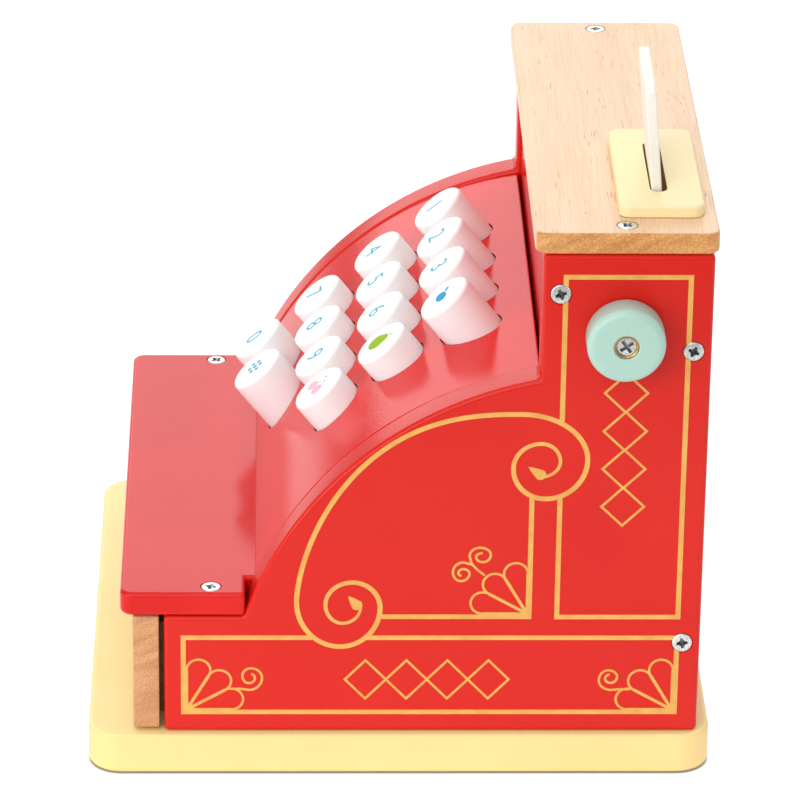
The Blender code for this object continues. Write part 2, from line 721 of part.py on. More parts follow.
def make_striker():
    """A hub on the shaft with a ball on a short arm, which passes the bell once a turn."""
    half = STRIKER_HUB_LENGTH / 2
    inner, outer = SHAFT_RADIUS + GAP, STRIKER_HUB_RADIUS
    hub = [(inner, half), (outer, half), (outer, -half), (inner, -half)]
    piece = turned(hub, ROUND_STEPS, closed=True)
    piece.location = (striker_middle(), KNOB_Y, KNOB_Z)
    piece.rotation_euler.y = math.pi / 2
    bpy.ops.mesh.primitive_uv_sphere_add(
        segments=SMALL_STEPS,
        ring_count=SMALL_STEPS // 2,
        radius=STRIKER_BALL_RADIUS,
        location=(striker_middle(), KNOB_Y, KNOB_Z - STRIKER_REACH),
    )
    ball = as_tool(bpy.context.object, "striker ball")
    hub_edge = KNOB_Z - (SHAFT_RADIUS + STRIKER_HUB_RADIUS) / 2
    arm = drill(
        "striker arm",
        STRIKER_ARM_RADIUS,
        (striker_middle(), KNOB_Y, hub_edge),
        (striker_middle(), KNOB_Y, KNOB_Z - STRIKER_REACH),
        SMALL_STEPS,
    )
    for tool in (arm, ball):
        combine(piece, tool, "UNION")
    part(piece, "striker_arm", raw_wood)


def on_bell_axis(piece):
    """Places a turned piece on the bell's axis: height 0 at the rim, the crown to the front."""
    swing = STRIKER_REACH + STRIKER_BALL_RADIUS
    rim = BACK_INNER - BELL_FROM_BACK
    piece.location = (striker_middle(), rim, KNOB_Z - swing - BELL_CLEARANCE - BELL_RADIUS)
    piece.rotation_euler.x = math.pi / 2
    return piece


def dome(radius, height, edge, start):
    """The bell's curve from its crown, at a given edge radius, down to its skirt."""
    steps = 5
    first = math.degrees(math.acos(edge / radius))
    angles = [math.radians(first - first * step / steps) for step in range(steps + 1)]
    return [(radius * math.cos(a), start + height * math.sin(a)) for a in angles]


def make_bell():
    hole = POST_PIN_RADIUS + GAP
    outer = dome(BELL_RADIUS, BELL_LENGTH - BELL_SKIRT, hole, BELL_SKIRT) + [(BELL_RADIUS, 0)]
    inside = BELL_RADIUS - BELL_WALL
    inner = dome(inside, BELL_LENGTH - BELL_SKIRT - BELL_WALL, hole, BELL_SKIRT) + [(inside, 0)]
    part(on_bell_axis(turned(outer + inner[::-1], ROUND_STEPS, closed=True)), "bell", steel)

    crown_inside = BELL_LENGTH - BELL_WALL - 2 * GAP
    head_bottom = BELL_LENGTH + GAP
    flange_bottom = -BELL_FROM_BACK + GAP
    post = [
        (0, head_bottom + POST_HEAD_THICK),
        (POST_RADIUS, head_bottom + POST_HEAD_THICK),
        (POST_RADIUS, head_bottom),
        (POST_PIN_RADIUS, head_bottom),
        (POST_PIN_RADIUS, crown_inside),
        (POST_RADIUS, crown_inside),
        (POST_RADIUS, flange_bottom + POST_FLANGE_THICK),
        (POST_FLANGE_RADIUS, flange_bottom + POST_FLANGE_THICK),
        (POST_FLANGE_RADIUS, flange_bottom),
        (0, flange_bottom),
    ]
    part(on_bell_axis(turned(post, SMALL_STEPS)), "bell_post", zinc)


# Card and its block

def block_corner():
    """The right and back edges of the card block."""
    return HALF_HOUSING - BLOCK_FROM_SIDE, CAP_BACK - BLOCK_FROM_BACK


def slot_middle():
    right, back = block_corner()
    return right - BLOCK_WIDTH / 2, back - BLOCK_DEPTH / 2 - SLOT_BEHIND_MIDDLE


def slot_bottom():
    return CAP_TOP - SLOT_DEPTH_IN_CAP


def slot_cutter():
    """A round-ended slot through the card block and part of the way into the cap."""
    x, y = slot_middle()
    half, end = SLOT_LENGTH / 2, SLOT_WIDTH / 2
    straight = half - end
    steps = SMALL_STEPS // 2
    right_end = arc((x + straight, y), end, -90, 90, steps)
    outline = right_end + arc((x - straight, y), end, 90, 270, steps)
    top = CAP_TOP + GAP + 2 * BLOCK_HEIGHT
    bottom = slot_bottom()
    piece = cut_from_board(outline, top - bottom, Matrix.Translation((0, 0, (top + bottom) / 2)))
    return as_tool(piece, "card slot")


def make_card_slot_block():
    right, back = block_corner()
    outline = rounded_rectangle(right - BLOCK_WIDTH, right, back - BLOCK_DEPTH, back, BLOCK_CORNER)
    middle = Matrix.Translation((0, 0, CAP_TOP + GAP + BLOCK_HEIGHT / 2))
    piece = rounded(cut_from_board(outline, BLOCK_HEIGHT, middle), ROUNDING)
    combine(piece, slot_cutter(), "DIFFERENCE")
    part(piece, "card_slot_block", cream_paint)


def make_card():
    """A card that leans to the front in its slot, drawn about its foot."""
    x, y = slot_middle()
    depth = CAP_TOP + GAP + BLOCK_HEIGHT - slot_bottom()
    height = (depth - GAP + CARD_STANDS_PROUD) / math.cos(CARD_LEAN)
    half = CARD_WIDTH / 2
    side = half - CARD_CORNER
    top = height - CARD_CORNER
    bottom = CARD_CORNER
    corners = ((side, top, 0), (-side, top, 90), (-side, bottom, 180), (side, bottom, 270))
    outline = rounded_corners(corners, CARD_CORNER)
    foot_back = y + SLOT_WIDTH / 2 - GAP - CARD_THICK / 2 / math.cos(CARD_LEAN)
    foot_lift = CARD_THICK / 2 * math.sin(CARD_LEAN)
    upright = Matrix.Rotation(math.pi / 2 + CARD_LEAN, 4, "X")
    place = Matrix.Translation((x, foot_back, slot_bottom() + GAP + foot_lift)) @ upright
    piece = cut_from_board(outline, CARD_THICK, place)
    part(rounded(piece, ROUNDING / 2), "card", white_paint)


for leftover in list(bpy.data.objects):
    bpy.data.objects.remove(leftover)
register = bpy.data.collections.new("toy_cash_register")
cutters = bpy.data.collections.new("cutters")
for collection in (register, cutters):
    bpy.context.scene.collection.children.link(collection)

red_paint = finish("red paint", (228, 48, 42), 0.3)
cream_paint = finish("cream paint", (253, 236, 165), 0.35)
white_paint = finish("white paint", (245, 243, 240), 0.35)
mint_paint = finish("mint paint", (180, 228, 210), 0.4)
bare_wood = finish("lacquered wood", (232, 190, 140), 0.5)
raw_wood = finish("raw wood", (205, 165, 115), 0.7)
zinc = finish("zinc", (205, 205, 200), 0.3, metallic=1.0)
steel = finish("bright steel", (200, 200, 200), 0.25, metallic=1.0)

make_base_board()
make_side_panel("right_side_panel", 1)
make_side_panel("left_side_panel", -1)
make_back_panel()
make_tower_front_panel()
make_front_shelf()
make_top_cap()
make_key_panel()
make_key_board()
make_keys()
make_springs()
make_screws()
make_drawer()
make_shaft(make_knob())
make_striker()
make_bell()
make_card_slot_block()
make_card()
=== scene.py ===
"""Looks of the toy cash register: painted boards, turned keys and knob, gold lines and screws."""

import itertools
import math

import bpy
from mathutils import Matrix, Vector


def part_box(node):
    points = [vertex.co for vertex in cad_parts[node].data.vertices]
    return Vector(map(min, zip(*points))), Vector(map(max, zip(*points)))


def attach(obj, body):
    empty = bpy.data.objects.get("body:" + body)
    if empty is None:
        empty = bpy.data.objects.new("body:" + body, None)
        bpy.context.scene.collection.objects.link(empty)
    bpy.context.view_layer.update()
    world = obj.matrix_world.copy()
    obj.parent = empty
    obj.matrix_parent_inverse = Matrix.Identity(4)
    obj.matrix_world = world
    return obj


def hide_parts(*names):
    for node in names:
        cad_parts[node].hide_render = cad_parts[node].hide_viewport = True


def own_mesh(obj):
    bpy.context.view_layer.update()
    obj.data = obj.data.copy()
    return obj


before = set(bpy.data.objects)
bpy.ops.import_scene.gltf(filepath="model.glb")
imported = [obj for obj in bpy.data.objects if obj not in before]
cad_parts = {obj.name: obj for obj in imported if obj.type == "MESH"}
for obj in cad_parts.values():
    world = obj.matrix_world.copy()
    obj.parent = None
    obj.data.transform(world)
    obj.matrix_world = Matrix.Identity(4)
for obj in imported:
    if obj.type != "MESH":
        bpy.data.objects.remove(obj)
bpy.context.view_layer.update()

MM = 0.001

# Edges of the boards
BOARD_ROUNDING = 0.0016
PANEL_ROUNDING = 0.0006
WOOD_ROUNDING = 0.0011
CURVE_ROUNDING = 0.0009
BASE_CORNER = 0.012
SHELF_CORNER = 0.0045
CAP_CORNER = 0.0045
BLOCK_CORNER = 0.004
SHELF_PLAY = 0.0005
SHELF_TONGUE_EXTRA = 0.002

# Side panels: a low front, a quarter-round sweep and a tower
SWEEP_FOOT = Vector((-0.055, 0.0606))
SWEEP_TOP = Vector((0.0465, 0.1518))
SWEEP_RADIUS = 0.1338
KEY_PANEL_THICK = 0.006
KEY_PANEL_RADIUS = 0.1286
KEY_PANEL_TOP_INSET = 0.0014
PANEL_LAP = 0.0007
TOWER_FRONT_SETBACK = 0.0014

# Keys
KEY_RADIUS = 0.0104
KEY_HOLE_RADIUS = 0.0110
KEY_LENGTH = 0.030
KEY_ROUNDING = 0.0018
KEY_TILT = math.radians(38.6)
KEY_AXIS = Vector((0, -math.sin(KEY_TILT), math.cos(KEY_TILT)))
UP_SLOPE = Vector((0, math.cos(KEY_TILT), math.sin(KEY_TILT)))
STEM_RADIUS = 0.003
STEM_HEAD_RADIUS = 0.0045
STEM_HEAD_THICK = 0.003
KEY_BOARD_UNDERSIDE = 0.0473
SPRING_RADIUS = 0.006
SPRING_WIRE = 0.0006
SPRING_TURNS = 5
SPRING_LOW = -0.0401
SPRING_HIGH = -0.0309
TOP_ROW = Vector((0, 0.0146847, 0.1570944))
ROW_STEP = UP_SLOPE * -0.0282
COLUMN_STEP = 0.0273

# Screws
SCREW_HEAD_RADIUS = 0.0035
SCREW_SHANK_RADIUS = 0.0016
SCREW_LENGTH = 0.025
HOLE_PLAY = 0.0003
DRILL_DEPTH = 0.02
SIDE_SCREW_PROUD = 0.00022
UPWARD = (0, 0, 1)

# Knob
KNOB_RADIUS = 0.0135
KNOB_LENGTH = 0.0115
KNOB_ROUNDING = 0.0028
COUNTERBORE_RADIUS = 0.0043
COUNTERBORE_DEPTH = 0.0029
SHAFT_BORE_DEPTH = 0.0058
SCREW_BORE_RADIUS = 0.0019

# Card and the slot that it stands in
CARD_THICK = 0.0036
CARD_CORNER = 0.003
CARD_LEAN = math.radians(5.0)
CAD_CARD_LEAN = math.radians(4.0)
CARD_YAW = math.radians(-0.4)
CARD_FORWARD = 0.0008
SLOT_HALF = 0.0225
SLOT_END = 0.003
SLOT_DEPTH_IN_CAP = 0.005
SLOT_FORWARD = 0.0003

# Drawer
DRAWER_FRONT_FORWARD = 0.0004
DRAWER_FRONT_BACKWARD = 0.0006
FINGER_NOTCH_RADIUS = 0.012

# Print and painted lines
LINE_WIDTH = 1.75
THIN_LINE = 0.82
RAY_LINE = 1.1
PAINT_HEIGHT = 0.00006
COAT_STEP = 0.000008
INK_HEIGHT = 0.00004
DIGIT_SIZE = 10.6
DIGIT_THINNING = -0.04
DIGIT_DROP = 0.5

# Points closer than this count as level
LEVEL = 0.0001


# Modelling tools

def deselect():
    bpy.ops.object.select_all(action="DESELECT")


def only(piece):
    """Makes one piece active and selects nothing else."""
    deselect()
    bpy.context.view_layer.objects.active = piece
    piece.select_set(True)
    return piece


def edit_all():
    bpy.ops.object.mode_set(mode="EDIT")
    bpy.ops.mesh.select_mode(type="VERT")
    bpy.ops.mesh.select_all(action="SELECT")


def leave_edit():
    bpy.ops.object.mode_set(mode="OBJECT")


def extrude(way):
    bpy.ops.mesh.extrude_region_move(TRANSFORM_OT_translate={"value": way})


def pick_edges(piece, test):
    """Opens a piece for editing with the edges selected whose two ends pass a test."""
    only(piece)
    bpy.ops.object.mode_set(mode="EDIT")
    bpy.ops.mesh.select_mode(type="EDGE")
    bpy.ops.mesh.select_all(action="DESELECT")
    leave_edit()
    for edge in piece.data.edges:
        start, end = (piece.data.vertices[index].co for index in edge.vertices)
        edge.select = test(start, end)
    bpy.ops.object.mode_set(mode="EDIT")


def bevel_edges(piece, test, width, segments):
    """Rounds the edges that pass a test."""
    pick_edges(piece, test)
    bpy.ops.mesh.bevel(offset=width, segments=segments, affect="EDGES")
    leave_edit()


def trace(points):
    """Draws a line through points as a new mesh, and stays in edit mode."""
    deselect()
    bpy.ops.mesh.primitive_plane_add(size=1)
    edit_all()
    bpy.ops.mesh.merge(type="CENTER")
    points = [Vector(point) for point in points]
    bpy.ops.transform.translate(value=points[0])
    for start, end in zip(points, points[1:]):
        extrude(end - start)
    bpy.ops.mesh.select_all(action="SELECT")
    bpy.ops.mesh.remove_doubles(threshold=1e-6)
    return bpy.context.object


def mend():
    """Merges doubles and turns all faces out, in edit mode, and then leaves it."""
    bpy.ops.mesh.select_all(action="SELECT")
    bpy.ops.mesh.remove_doubles(threshold=1e-6)
    bpy.ops.mesh.normals_make_consistent(inside=False)
    leave_edit()


def cut_board(outline, thickness):
    """A flat closed outline, filled and given a thickness along a vector."""
    outline = [Vector(point) for point in outline]
    piece = trace(outline + outline[:1])
    bpy.ops.mesh.edge_face_add()
    extrude(thickness)
    mend()
    return piece


def cube(low, high):
    """A box between two corners, with its place in its mesh."""
    low, high = Vector(low), Vector(high)
    deselect()
    bpy.ops.mesh.primitive_cube_add(size=1, location=(low + high) / 2)
    piece = bpy.context.object
    piece.scale = high - low
    settle(piece)
    return piece


def rod(vertices, radius, depth, place, turn):
    """A cylinder to cut with, with its place in its mesh."""
    deselect()
    bpy.ops.mesh.primitive_cylinder_add(
        vertices=vertices, radius=radius, depth=depth, location=place, rotation=turn
    )
    return settle(bpy.context.object)


def settle(piece):
    """Puts a piece's place, turn and size into its mesh."""
    only(piece)
    bpy.ops.object.transform_apply(location=True, rotation=True, scale=True)
    return piece


def corner_posts(piece, radius, segments):
    """Rounds a board's upright corners."""
    bevel_edges(piece, lambda start, end: abs(start.z - end.z) > LEVEL, radius, segments)


def apply_last(piece):
    only(piece)
    bpy.ops.object.modifier_apply(modifier=piece.modifiers[-1].name)


def rounded(piece, width, segments=3, angle=40):
    bevel = piece.modifiers.new("rounded edges", "BEVEL")
    bevel.width = width
    bevel.segments = segments
    bevel.limit_method = "ANGLE"
    bevel.angle_limit = math.radians(angle)
    apply_last(piece)


def cut(piece, tool):
    """Cuts a piece with a tool, which is then put away."""
    boolean = piece.modifiers.new("cut", "BOOLEAN")
    boolean.operation = "DIFFERENCE"
    boolean.solver = "EXACT"
    boolean.object = tool
    apply_last(piece)
    bpy.data.objects.remove(tool)


def smooth(piece, angle=35):
    only(piece)
    bpy.ops.object.shade_smooth_by_angle(angle=math.radians(angle))
    return piece


def even_shading(piece, angle=35):
    """Smooth over the rounded edges and flat on the big faces."""
    smooth(piece, angle)
    weights = piece.modifiers.new("even shading", "WEIGHTED_NORMAL")
    weights.keep_sharp = True
    apply_last(piece)


def face_out(piece):
    """Turns all of a piece's faces outwards."""
    only(piece)
    edit_all()
    bpy.ops.mesh.normals_make_consistent(inside=False)
    leave_edit()
    return piece


def join(pieces):
    only(pieces[0])
    for piece in pieces[1:]:
        piece.select_set(True)
    bpy.ops.object.join()
    return pieces[0]


def copy_of(piece):
    """A copy with its own mesh."""
    made = piece.copy()
    made.data = piece.data.copy()
    bpy.context.scene.collection.objects.link(made)
    return made


def in_finish(piece, material):
    """Gives a piece one material in place of any that it has."""
    piece.data.materials.clear()
    piece.data.materials.append(material)
    return piece


def paint(piece, name, material, body, slot, *nodes):
    """Names and paints a finished piece and hangs it on its body, in place of CAD nodes."""
    piece.name = name
    piece.data.name = name
    if material:
        in_finish(piece, material)
    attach(piece, body)
    if nodes:
        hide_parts(*nodes)
    return piece


def second_finish(piece, material, test):
    """Gives the faces that pass a test another material."""
    piece.data.materials.append(material)
    last = len(piece.data.materials) - 1
    for face in piece.data.polygons:
        face.material_index = last if test(face) else 0


def turned(profile, steps=64):
    """A profile of (radius, height) points spun round +Z into a closed shape."""
    piece = trace([(radius, 0, height) for radius, height in profile])
    bpy.ops.mesh.spin(steps=steps, angle=2 * math.pi, center=(0, 0, 0), axis=(0, 0, 1))
    mend()
    return piece


def arc(centre, radius, start, end, steps):
    """Points along an arc, both ends included; angles in degrees."""
    angles = [math.radians(start + (end - start) * step / steps) for step in range(steps + 1)]
    return [(centre[0] + radius * math.cos(a), centre[1] + radius * math.sin(a)) for a in angles]


def turn_to(piece, place, outward):
    """Stands a piece made along +Z at a place, facing outward."""
    piece.location = place
    piece.rotation_euler = Vector(outward).to_track_quat("Z", "Y").to_euler()
    return settle(piece)


# Shader tools

def linear(value):
    """One sRGB channel, 0 to 255, as the linear value a shader takes."""
    share = value / 255
    return share / 12.92 if share <= 0.04045 else ((share + 0.055) / 1.055) ** 2.4


def colour(rgb):
    return (*(linear(channel) for channel in rgb), 1)


def add_node(tree, kind, inputs=None, **settings):
    """A node with its settings; each input takes a value or another node's output."""
    made = tree.nodes.new(kind)
    for name, value in settings.items():
        setattr(made, name, value)
    for name, value in (inputs or {}).items():
        if isinstance(value, bpy.types.NodeSocket):
            tree.links.new(value, made.inputs[name])
        else:
            made.inputs[name].default_value = value
    return made


def maths(tree, operation, first, second=0.0):
    node = add_node(tree, "ShaderNodeMath", {0: first, 1: second}, operation=operation)
    return node.outputs[0]


def vector_maths(tree, operation, first, second=(0, 0, 0)):
    node = add_node(tree, "ShaderNodeVectorMath", {0: first, 1: second}, operation=operation)
    return node.outputs[0]


def blended(tree, share, first, second):
    """Mixes two colours by a share."""
    inputs = {0: share, 6: first, 7: second}
    return add_node(tree, "ShaderNodeMix", inputs, data_type="RGBA").outputs[2]


def stretched(tree, vector, scale):
    node = add_node(tree, "ShaderNodeMapping", {"Vector": vector, "Scale": scale})
    return node.outputs["Vector"]


def rotated(tree, vector, degrees):
    inputs = {"Vector": vector, "Rotation": [math.radians(angle) for angle in degrees]}
    return add_node(tree, "ShaderNodeMapping", inputs).outputs["Vector"]


def noise(tree, vector, scale, detail=3.0, roughness=0.5):
    inputs = {"Vector": vector, "Scale": scale, "Detail": detail, "Roughness": roughness}
    return add_node(tree, "ShaderNodeTexNoise", inputs).outputs["Fac"]


def remap(tree, value, low, high, new_low=0.0, new_high=1.0):
    inputs = {0: value, 1: low, 2: high, 3: new_low, 4: new_high}
    return add_node(tree, "ShaderNodeMapRange", inputs).outputs[0]


def new_group(name, inputs, outputs):
    """An empty node group with named inputs and outputs; returns it with its two end nodes."""
    group = bpy.data.node_groups.new(name, "ShaderNodeTree")
    for title, (kind, value) in inputs.items():
        socket = group.interface.new_socket(title, in_out="INPUT", socket_type=kind)
        if value is not None:
            socket.default_value = value
    for title, kind in outputs.items():
        group.interface.new_socket(title, in_out="OUTPUT", socket_type=kind)
    return group, group.nodes.new("NodeGroupInput"), group.nodes.new("NodeGroupOutput")


FLOAT, COLOUR, VECTOR = "NodeSocketFloat", "NodeSocketColor", "NodeSocketVector"


def make_brushed_paint():
    """Paint over sanded wood: mottling, faint grain ridges and the ripple of a sprayed coat."""
    group, given, made = new_group(
        "painted wood",
        {
            "Vector": (VECTOR, None),
            "Colour": (COLOUR, (1, 1, 1, 1)),
            "Shade": (COLOUR, (1, 1, 1, 1)),
            "Grain": (FLOAT, 1.0),
            "Ripple": (FLOAT, 1.0),
        },
        {"Colour": COLOUR, "Roughness Shift": FLOAT, "Height": FLOAT},
    )
    place = given.outputs["Vector"]
    cloud = noise(group, place, 22.0, 3.0)
    fleck = noise(group, place, 420.0, 2.0)
    share = maths(group, "MULTIPLY", remap(group, cloud, 0.35, 0.7), 0.7)
    share = maths(group, "ADD", share, maths(group, "MULTIPLY", fleck, 0.3))
    tint = blended(group, share, given.outputs["Colour"], given.outputs["Shade"])
    ridge = noise(group, stretched(group, place, (0.04, 1.0, 1.0)), 900.0, 2.0, 0.5)
    ripple = noise(group, place, 800.0, 2.0, 0.5)
    ridge = maths(group, "MULTIPLY", ridge, given.outputs["Grain"])
    ripple = maths(group, "MULTIPLY", ripple, given.outputs["Ripple"])
    height = maths(group, "ADD", ridge, ripple)
    links = group.links
    links.new(tint, made.inputs["Colour"])
    links.new(remap(group, cloud, 0.3, 0.7, -0.02, 0.03), made.inputs["Roughness Shift"])
    links.new(height, made.inputs["Height"])
    return group


def make_wood_grain():
    """Close-grained wood along X: soft bands, fine fibres and short dark pores."""
    group, given, made = new_group(
        "wood grain",
        {
            "Vector": (VECTOR, None),
            "Pale": (COLOUR, (1, 1, 1, 1)),
            "Warm": (COLOUR, (1, 1, 1, 1)),
            "Pore": (COLOUR, (0, 0, 0, 1)),
            "Pores": (FLOAT, 1.0),
        },
        {"Colour": COLOUR, "Height": FLOAT},
    )
    place = given.outputs["Vector"]
    wave = noise(group, stretched(group, place, (0.4, 1.0, 1.0)), 30.0, 1.0)
    drift = add_node(group, "ShaderNodeCombineXYZ", {"Y": maths(group, "MULTIPLY", wave, 0.004)})
    bowed = vector_maths(group, "ADD", place, drift.outputs[0])
    band = noise(group, stretched(group, bowed, (0.1, 1.0, 1.0)), 75.0, 3.0, 0.6)
    fibre = noise(group, stretched(group, bowed, (0.018, 1.0, 1.0)), 1300.0, 3.0, 0.6)
    bands = maths(group, "MULTIPLY", remap(group, band, 0.32, 0.72), 0.6)
    fibres = maths(group, "MULTIPLY", remap(group, fibre, 0.32, 0.68), 0.4)
    share = maths(group, "ADD", bands, fibres)
    wood = blended(group, share, given.outputs["Pale"], given.outputs["Warm"])
    tick = noise(group, stretched(group, bowed, (0.055, 1.0, 1.0)), 2300.0, 1.0, 0.4)
    hair = noise(group, stretched(group, bowed, (0.014, 1.0, 1.0)), 3000.0, 1.0, 0.4)
    patch = noise(group, stretched(group, bowed, (0.5, 1.0, 1.0)), 110.0, 2.0)
    ticks = maths(group, "MULTIPLY", remap(group, tick, 0.66, 0.73), remap(group, patch, 0.42, 0.6))
    hairs = maths(group, "MULTIPLY", remap(group, hair, 0.54, 0.68), 0.26)
    ticks = maths(group, "MAXIMUM", ticks, hairs)
    strength = maths(group, "MULTIPLY", ticks, given.outputs["Pores"])
    wood = blended(group, strength, wood, given.outputs["Pore"])
    height = maths(group, "SUBTRACT", maths(group, "MULTIPLY", fibre, 0.4), ticks)
    group.links.new(wood, made.inputs["Colour"])
    group.links.new(height, made.inputs["Height"])
    return group


def make_end_grain():
    """Mask of the faces that cut across a board's grain, which runs along X."""
    group, given, made = new_group("end grain", {"Normal": (VECTOR, None)}, {"Mask": FLOAT})
    split = add_node(group, "ShaderNodeSeparateXYZ", {0: given.outputs["Normal"]})
    side = maths(group, "ABSOLUTE", split.outputs["X"])
    group.links.new(remap(group, side, 0.2, 0.5), made.inputs["Mask"])
    return group


GRAIN_DEPTH = 0.00006
BRUSHED_PAINT = make_brushed_paint()
WOOD_GRAIN = make_wood_grain()
END_GRAIN = make_end_grain()


def new_material(name, roughness, metallic=0.0):
    """A material with its node tree, its shader and the object's own coordinates."""
    made = bpy.data.materials.new(name)
    made.use_nodes = True
    tree = made.node_tree
    shader = tree.nodes["Principled BSDF"]
    shader.inputs["Roughness"].default_value = roughness
    shader.inputs["Metallic"].default_value = metallic
    place = add_node(tree, "ShaderNodeTexCoord").outputs["Object"]
    return made, tree, shader, place


def group_node(tree, group, inputs):
    return add_node(tree, "ShaderNodeGroup", inputs, node_tree=group)


def bump(tree, shader, height, distance):
    inputs = {"Height": height, "Distance": distance, "Strength": 1.0}
    node = add_node(tree, "ShaderNodeBump", inputs)
    tree.links.new(node.outputs["Normal"], shader.inputs["Normal"])


def painted(name, rgb, shade, roughness, grain, ripple, turn=(0, 0, 0), ior=1.45):
    """A paint over wood whose grain runs along X once the board is turned."""
    made, tree, shader, place = new_material(name, roughness)
    values = {"Vector": rotated(tree, place, turn), "Colour": colour(rgb), "Shade": colour(shade)}
    values.update({"Grain": grain, "Ripple": ripple})
    coat = group_node(tree, BRUSHED_PAINT, values)
    tree.links.new(coat.outputs["Colour"], shader.inputs["Base Color"])
    rough = maths(tree, "ADD", coat.outputs["Roughness Shift"], roughness)
    tree.links.new(rough, shader.inputs["Roughness"])
    shader.inputs["IOR"].default_value = ior
    bump(tree, shader, coat.outputs["Height"], GRAIN_DEPTH)
    return made


def wooden(name, pale, warm, pore, end_pale, end_warm, roughness, pores):
    """Wood with its grain along X, and slanted growth rings on the ends."""
    made, tree, shader, place = new_material(name, roughness)
    values = {"Vector": place, "Pale": colour(pale), "Warm": colour(warm), "Pore": colour(pore)}
    values["Pores"] = pores
    grain = group_node(tree, WOOD_GRAIN, values)
    slanted = rotated(tree, place, (-24, 0, 0))
    ring = noise(tree, stretched(tree, slanted, (0.6, 0.2, 1.2)), 260.0, 3.0, 0.6)
    speck = noise(tree, place, 1700.0, 2.0, 0.6)
    ends = blended(tree, remap(tree, ring, 0.35, 0.65), colour(end_pale), colour(end_warm))
    ends = blended(tree, remap(tree, speck, 0.54, 0.72, 0.0, 0.55), ends, colour(pore))
    ends = blended(tree, remap(tree, speck, 0.46, 0.3, 0.0, 0.5), ends, colour(pale))
    normal = place.node.outputs["Normal"]
    across = group_node(tree, END_GRAIN, {"Normal": normal}).outputs["Mask"]
    tree.links.new(blended(tree, across, grain.outputs["Colour"], ends), shader.inputs["Base Color"])
    rough = remap(tree, speck, 0.3, 0.7, roughness - 0.05, roughness + 0.07)
    tree.links.new(rough, shader.inputs["Roughness"])
    bump(tree, shader, grain.outputs["Height"], GRAIN_DEPTH)
    return made


def plated(name, rgb, roughness, scratch):
    """Metal with a cloudy surface and fine scratches."""
    made, tree, shader, place = new_material(name, roughness, metallic=1.0)
    haze = noise(tree, place, 1400.0, 3.0)
    tone = blended(tree, remap(tree, haze, 0.35, 0.7), colour(rgb), colour([0.78 * c for c in rgb]))
    tree.links.new(tone, shader.inputs["Base Color"])
    rough = remap(tree, haze, 0.3, 0.7, roughness - 0.06, roughness + 0.1)
    tree.links.new(rough, shader.inputs["Roughness"])
    bump(tree, shader, noise(tree, place, 3500.0, 2.0), 0.00001 * scratch)
    return made


def inked(name, rgb, shade, roughness=0.55):
    """Flat print or hand-laid paint, slightly uneven."""
    made, tree, shader, place = new_material(name, roughness)
    shader.inputs["Specular IOR Level"].default_value = 0.2
    cloud = noise(tree, place, 160.0, 3.0, 0.6)
    tree.links.new(
        blended(tree, remap(tree, cloud, 0.35, 0.68), colour(rgb), colour(shade)),
        shader.inputs["Base Color"],
    )
    bump(tree, shader, noise(tree, place, 2500.0, 2.0), 0.00002)
    return made


red_board = painted("gloss red paint", (222, 26, 20), (216, 20, 16), 0.14, 0.5, 0.7, ior=1.24)
red_curve = painted("gloss red curved paint", (222, 27, 22), (214, 21, 18), 0.11, 0.8, 0.9,
                    turn=(0, 0, 90), ior=1.33)
red_shelf = painted("gloss red shelf paint", (218, 28, 22), (204, 20, 17), 0.11, 0.7, 0.7,
                    turn=(0, 0, 90), ior=1.33)
red_side = painted("red paint on side", (214, 35, 22), (210, 29, 19), 0.22, 0.2, 0.35,
                   turn=(0, 90, 0), ior=1.33)
cream_paint = painted("cream paint", (252, 235, 167), (249, 229, 157), 0.42, 0.4, 0.3)
# A darker copy of the cream paint for the base's upright edge faces: painted shade for the lesser
# light that falls on them, not a different paint.
cream_edge_shade = painted("cream paint darkened on edges as painted shade", (251, 218, 148), (248, 212, 139), 0.42, 0.4, 0.3)
block_paint = painted("pale cream paint", (251, 231, 180), (248, 226, 170), 0.42, 0.4, 0.3)
white_paint = painted("white key paint", (244, 251, 251), (240, 248, 248), 0.35, 0.1, 0.2)
card_paint = painted("white card paint", (245, 240, 231), (240, 234, 224), 0.45, 0.3, 0.3)
mint_paint = painted("mint knob paint", (175, 209, 196), (168, 203, 189), 0.32, 0.3, 0.3)
cap_wood = wooden("lacquered wood", (243, 211, 176), (232, 188, 144), (160, 104, 58),
                  (224, 160, 88), (198, 130, 62), 0.38, 0.7)
drawer_wood = wooden("sanded drawer wood", (222, 180, 136), (204, 154, 108), (140, 88, 56),
                     (214, 154, 104), (192, 130, 84), 0.5, 0.8)
# Bare wood inside the card slot in a darker tone than the other wood: partly the wood's own colour,
# partly painted shade of the narrow slot.
slot_wood_and_shade = wooden("bare wood inside slot, darkened as painted shade", (206, 150, 84), (186, 126, 62), (120, 76, 40),
                   (206, 150, 84), (186, 126, 62), 0.6, 0.6)
raw_wood = wooden("raw wood", (224, 190, 146), (206, 166, 118), (130, 88, 55),
                  (190, 146, 98), (168, 122, 78), 0.65, 0.6)
gold_paint = inked("gold line paint", (232, 178, 94), (220, 162, 82), 0.4)
zinc = plated("zinc plate", (236, 237, 235), 0.34, 1.0)
# A darker zinc for the screws' cross recesses: painted shade, not a different metal.
recess_shade_zinc = plated("shaded zinc in recess", (150, 156, 156), 0.45, 1.0)
brass_ring = plated("brassy ring", (190, 160, 105), 0.35, 1.0)
bright_steel = plated("bright spring steel", (200, 200, 200), 0.22, 0.5)
ink_blue = inked("sky blue ink", (70, 172, 194), (90, 184, 204))
ink_plum = inked("plum blue ink", (24, 150, 200), (40, 162, 208))
ink_green = inked("apple green ink", (146, 182, 10), (158, 192, 22))
ink_pink = inked("pink ink", (246, 178, 194), (250, 192, 205))
ink_leaf = inked("leaf ink", (52, 110, 80), (60, 122, 90))


# Base and housing boards

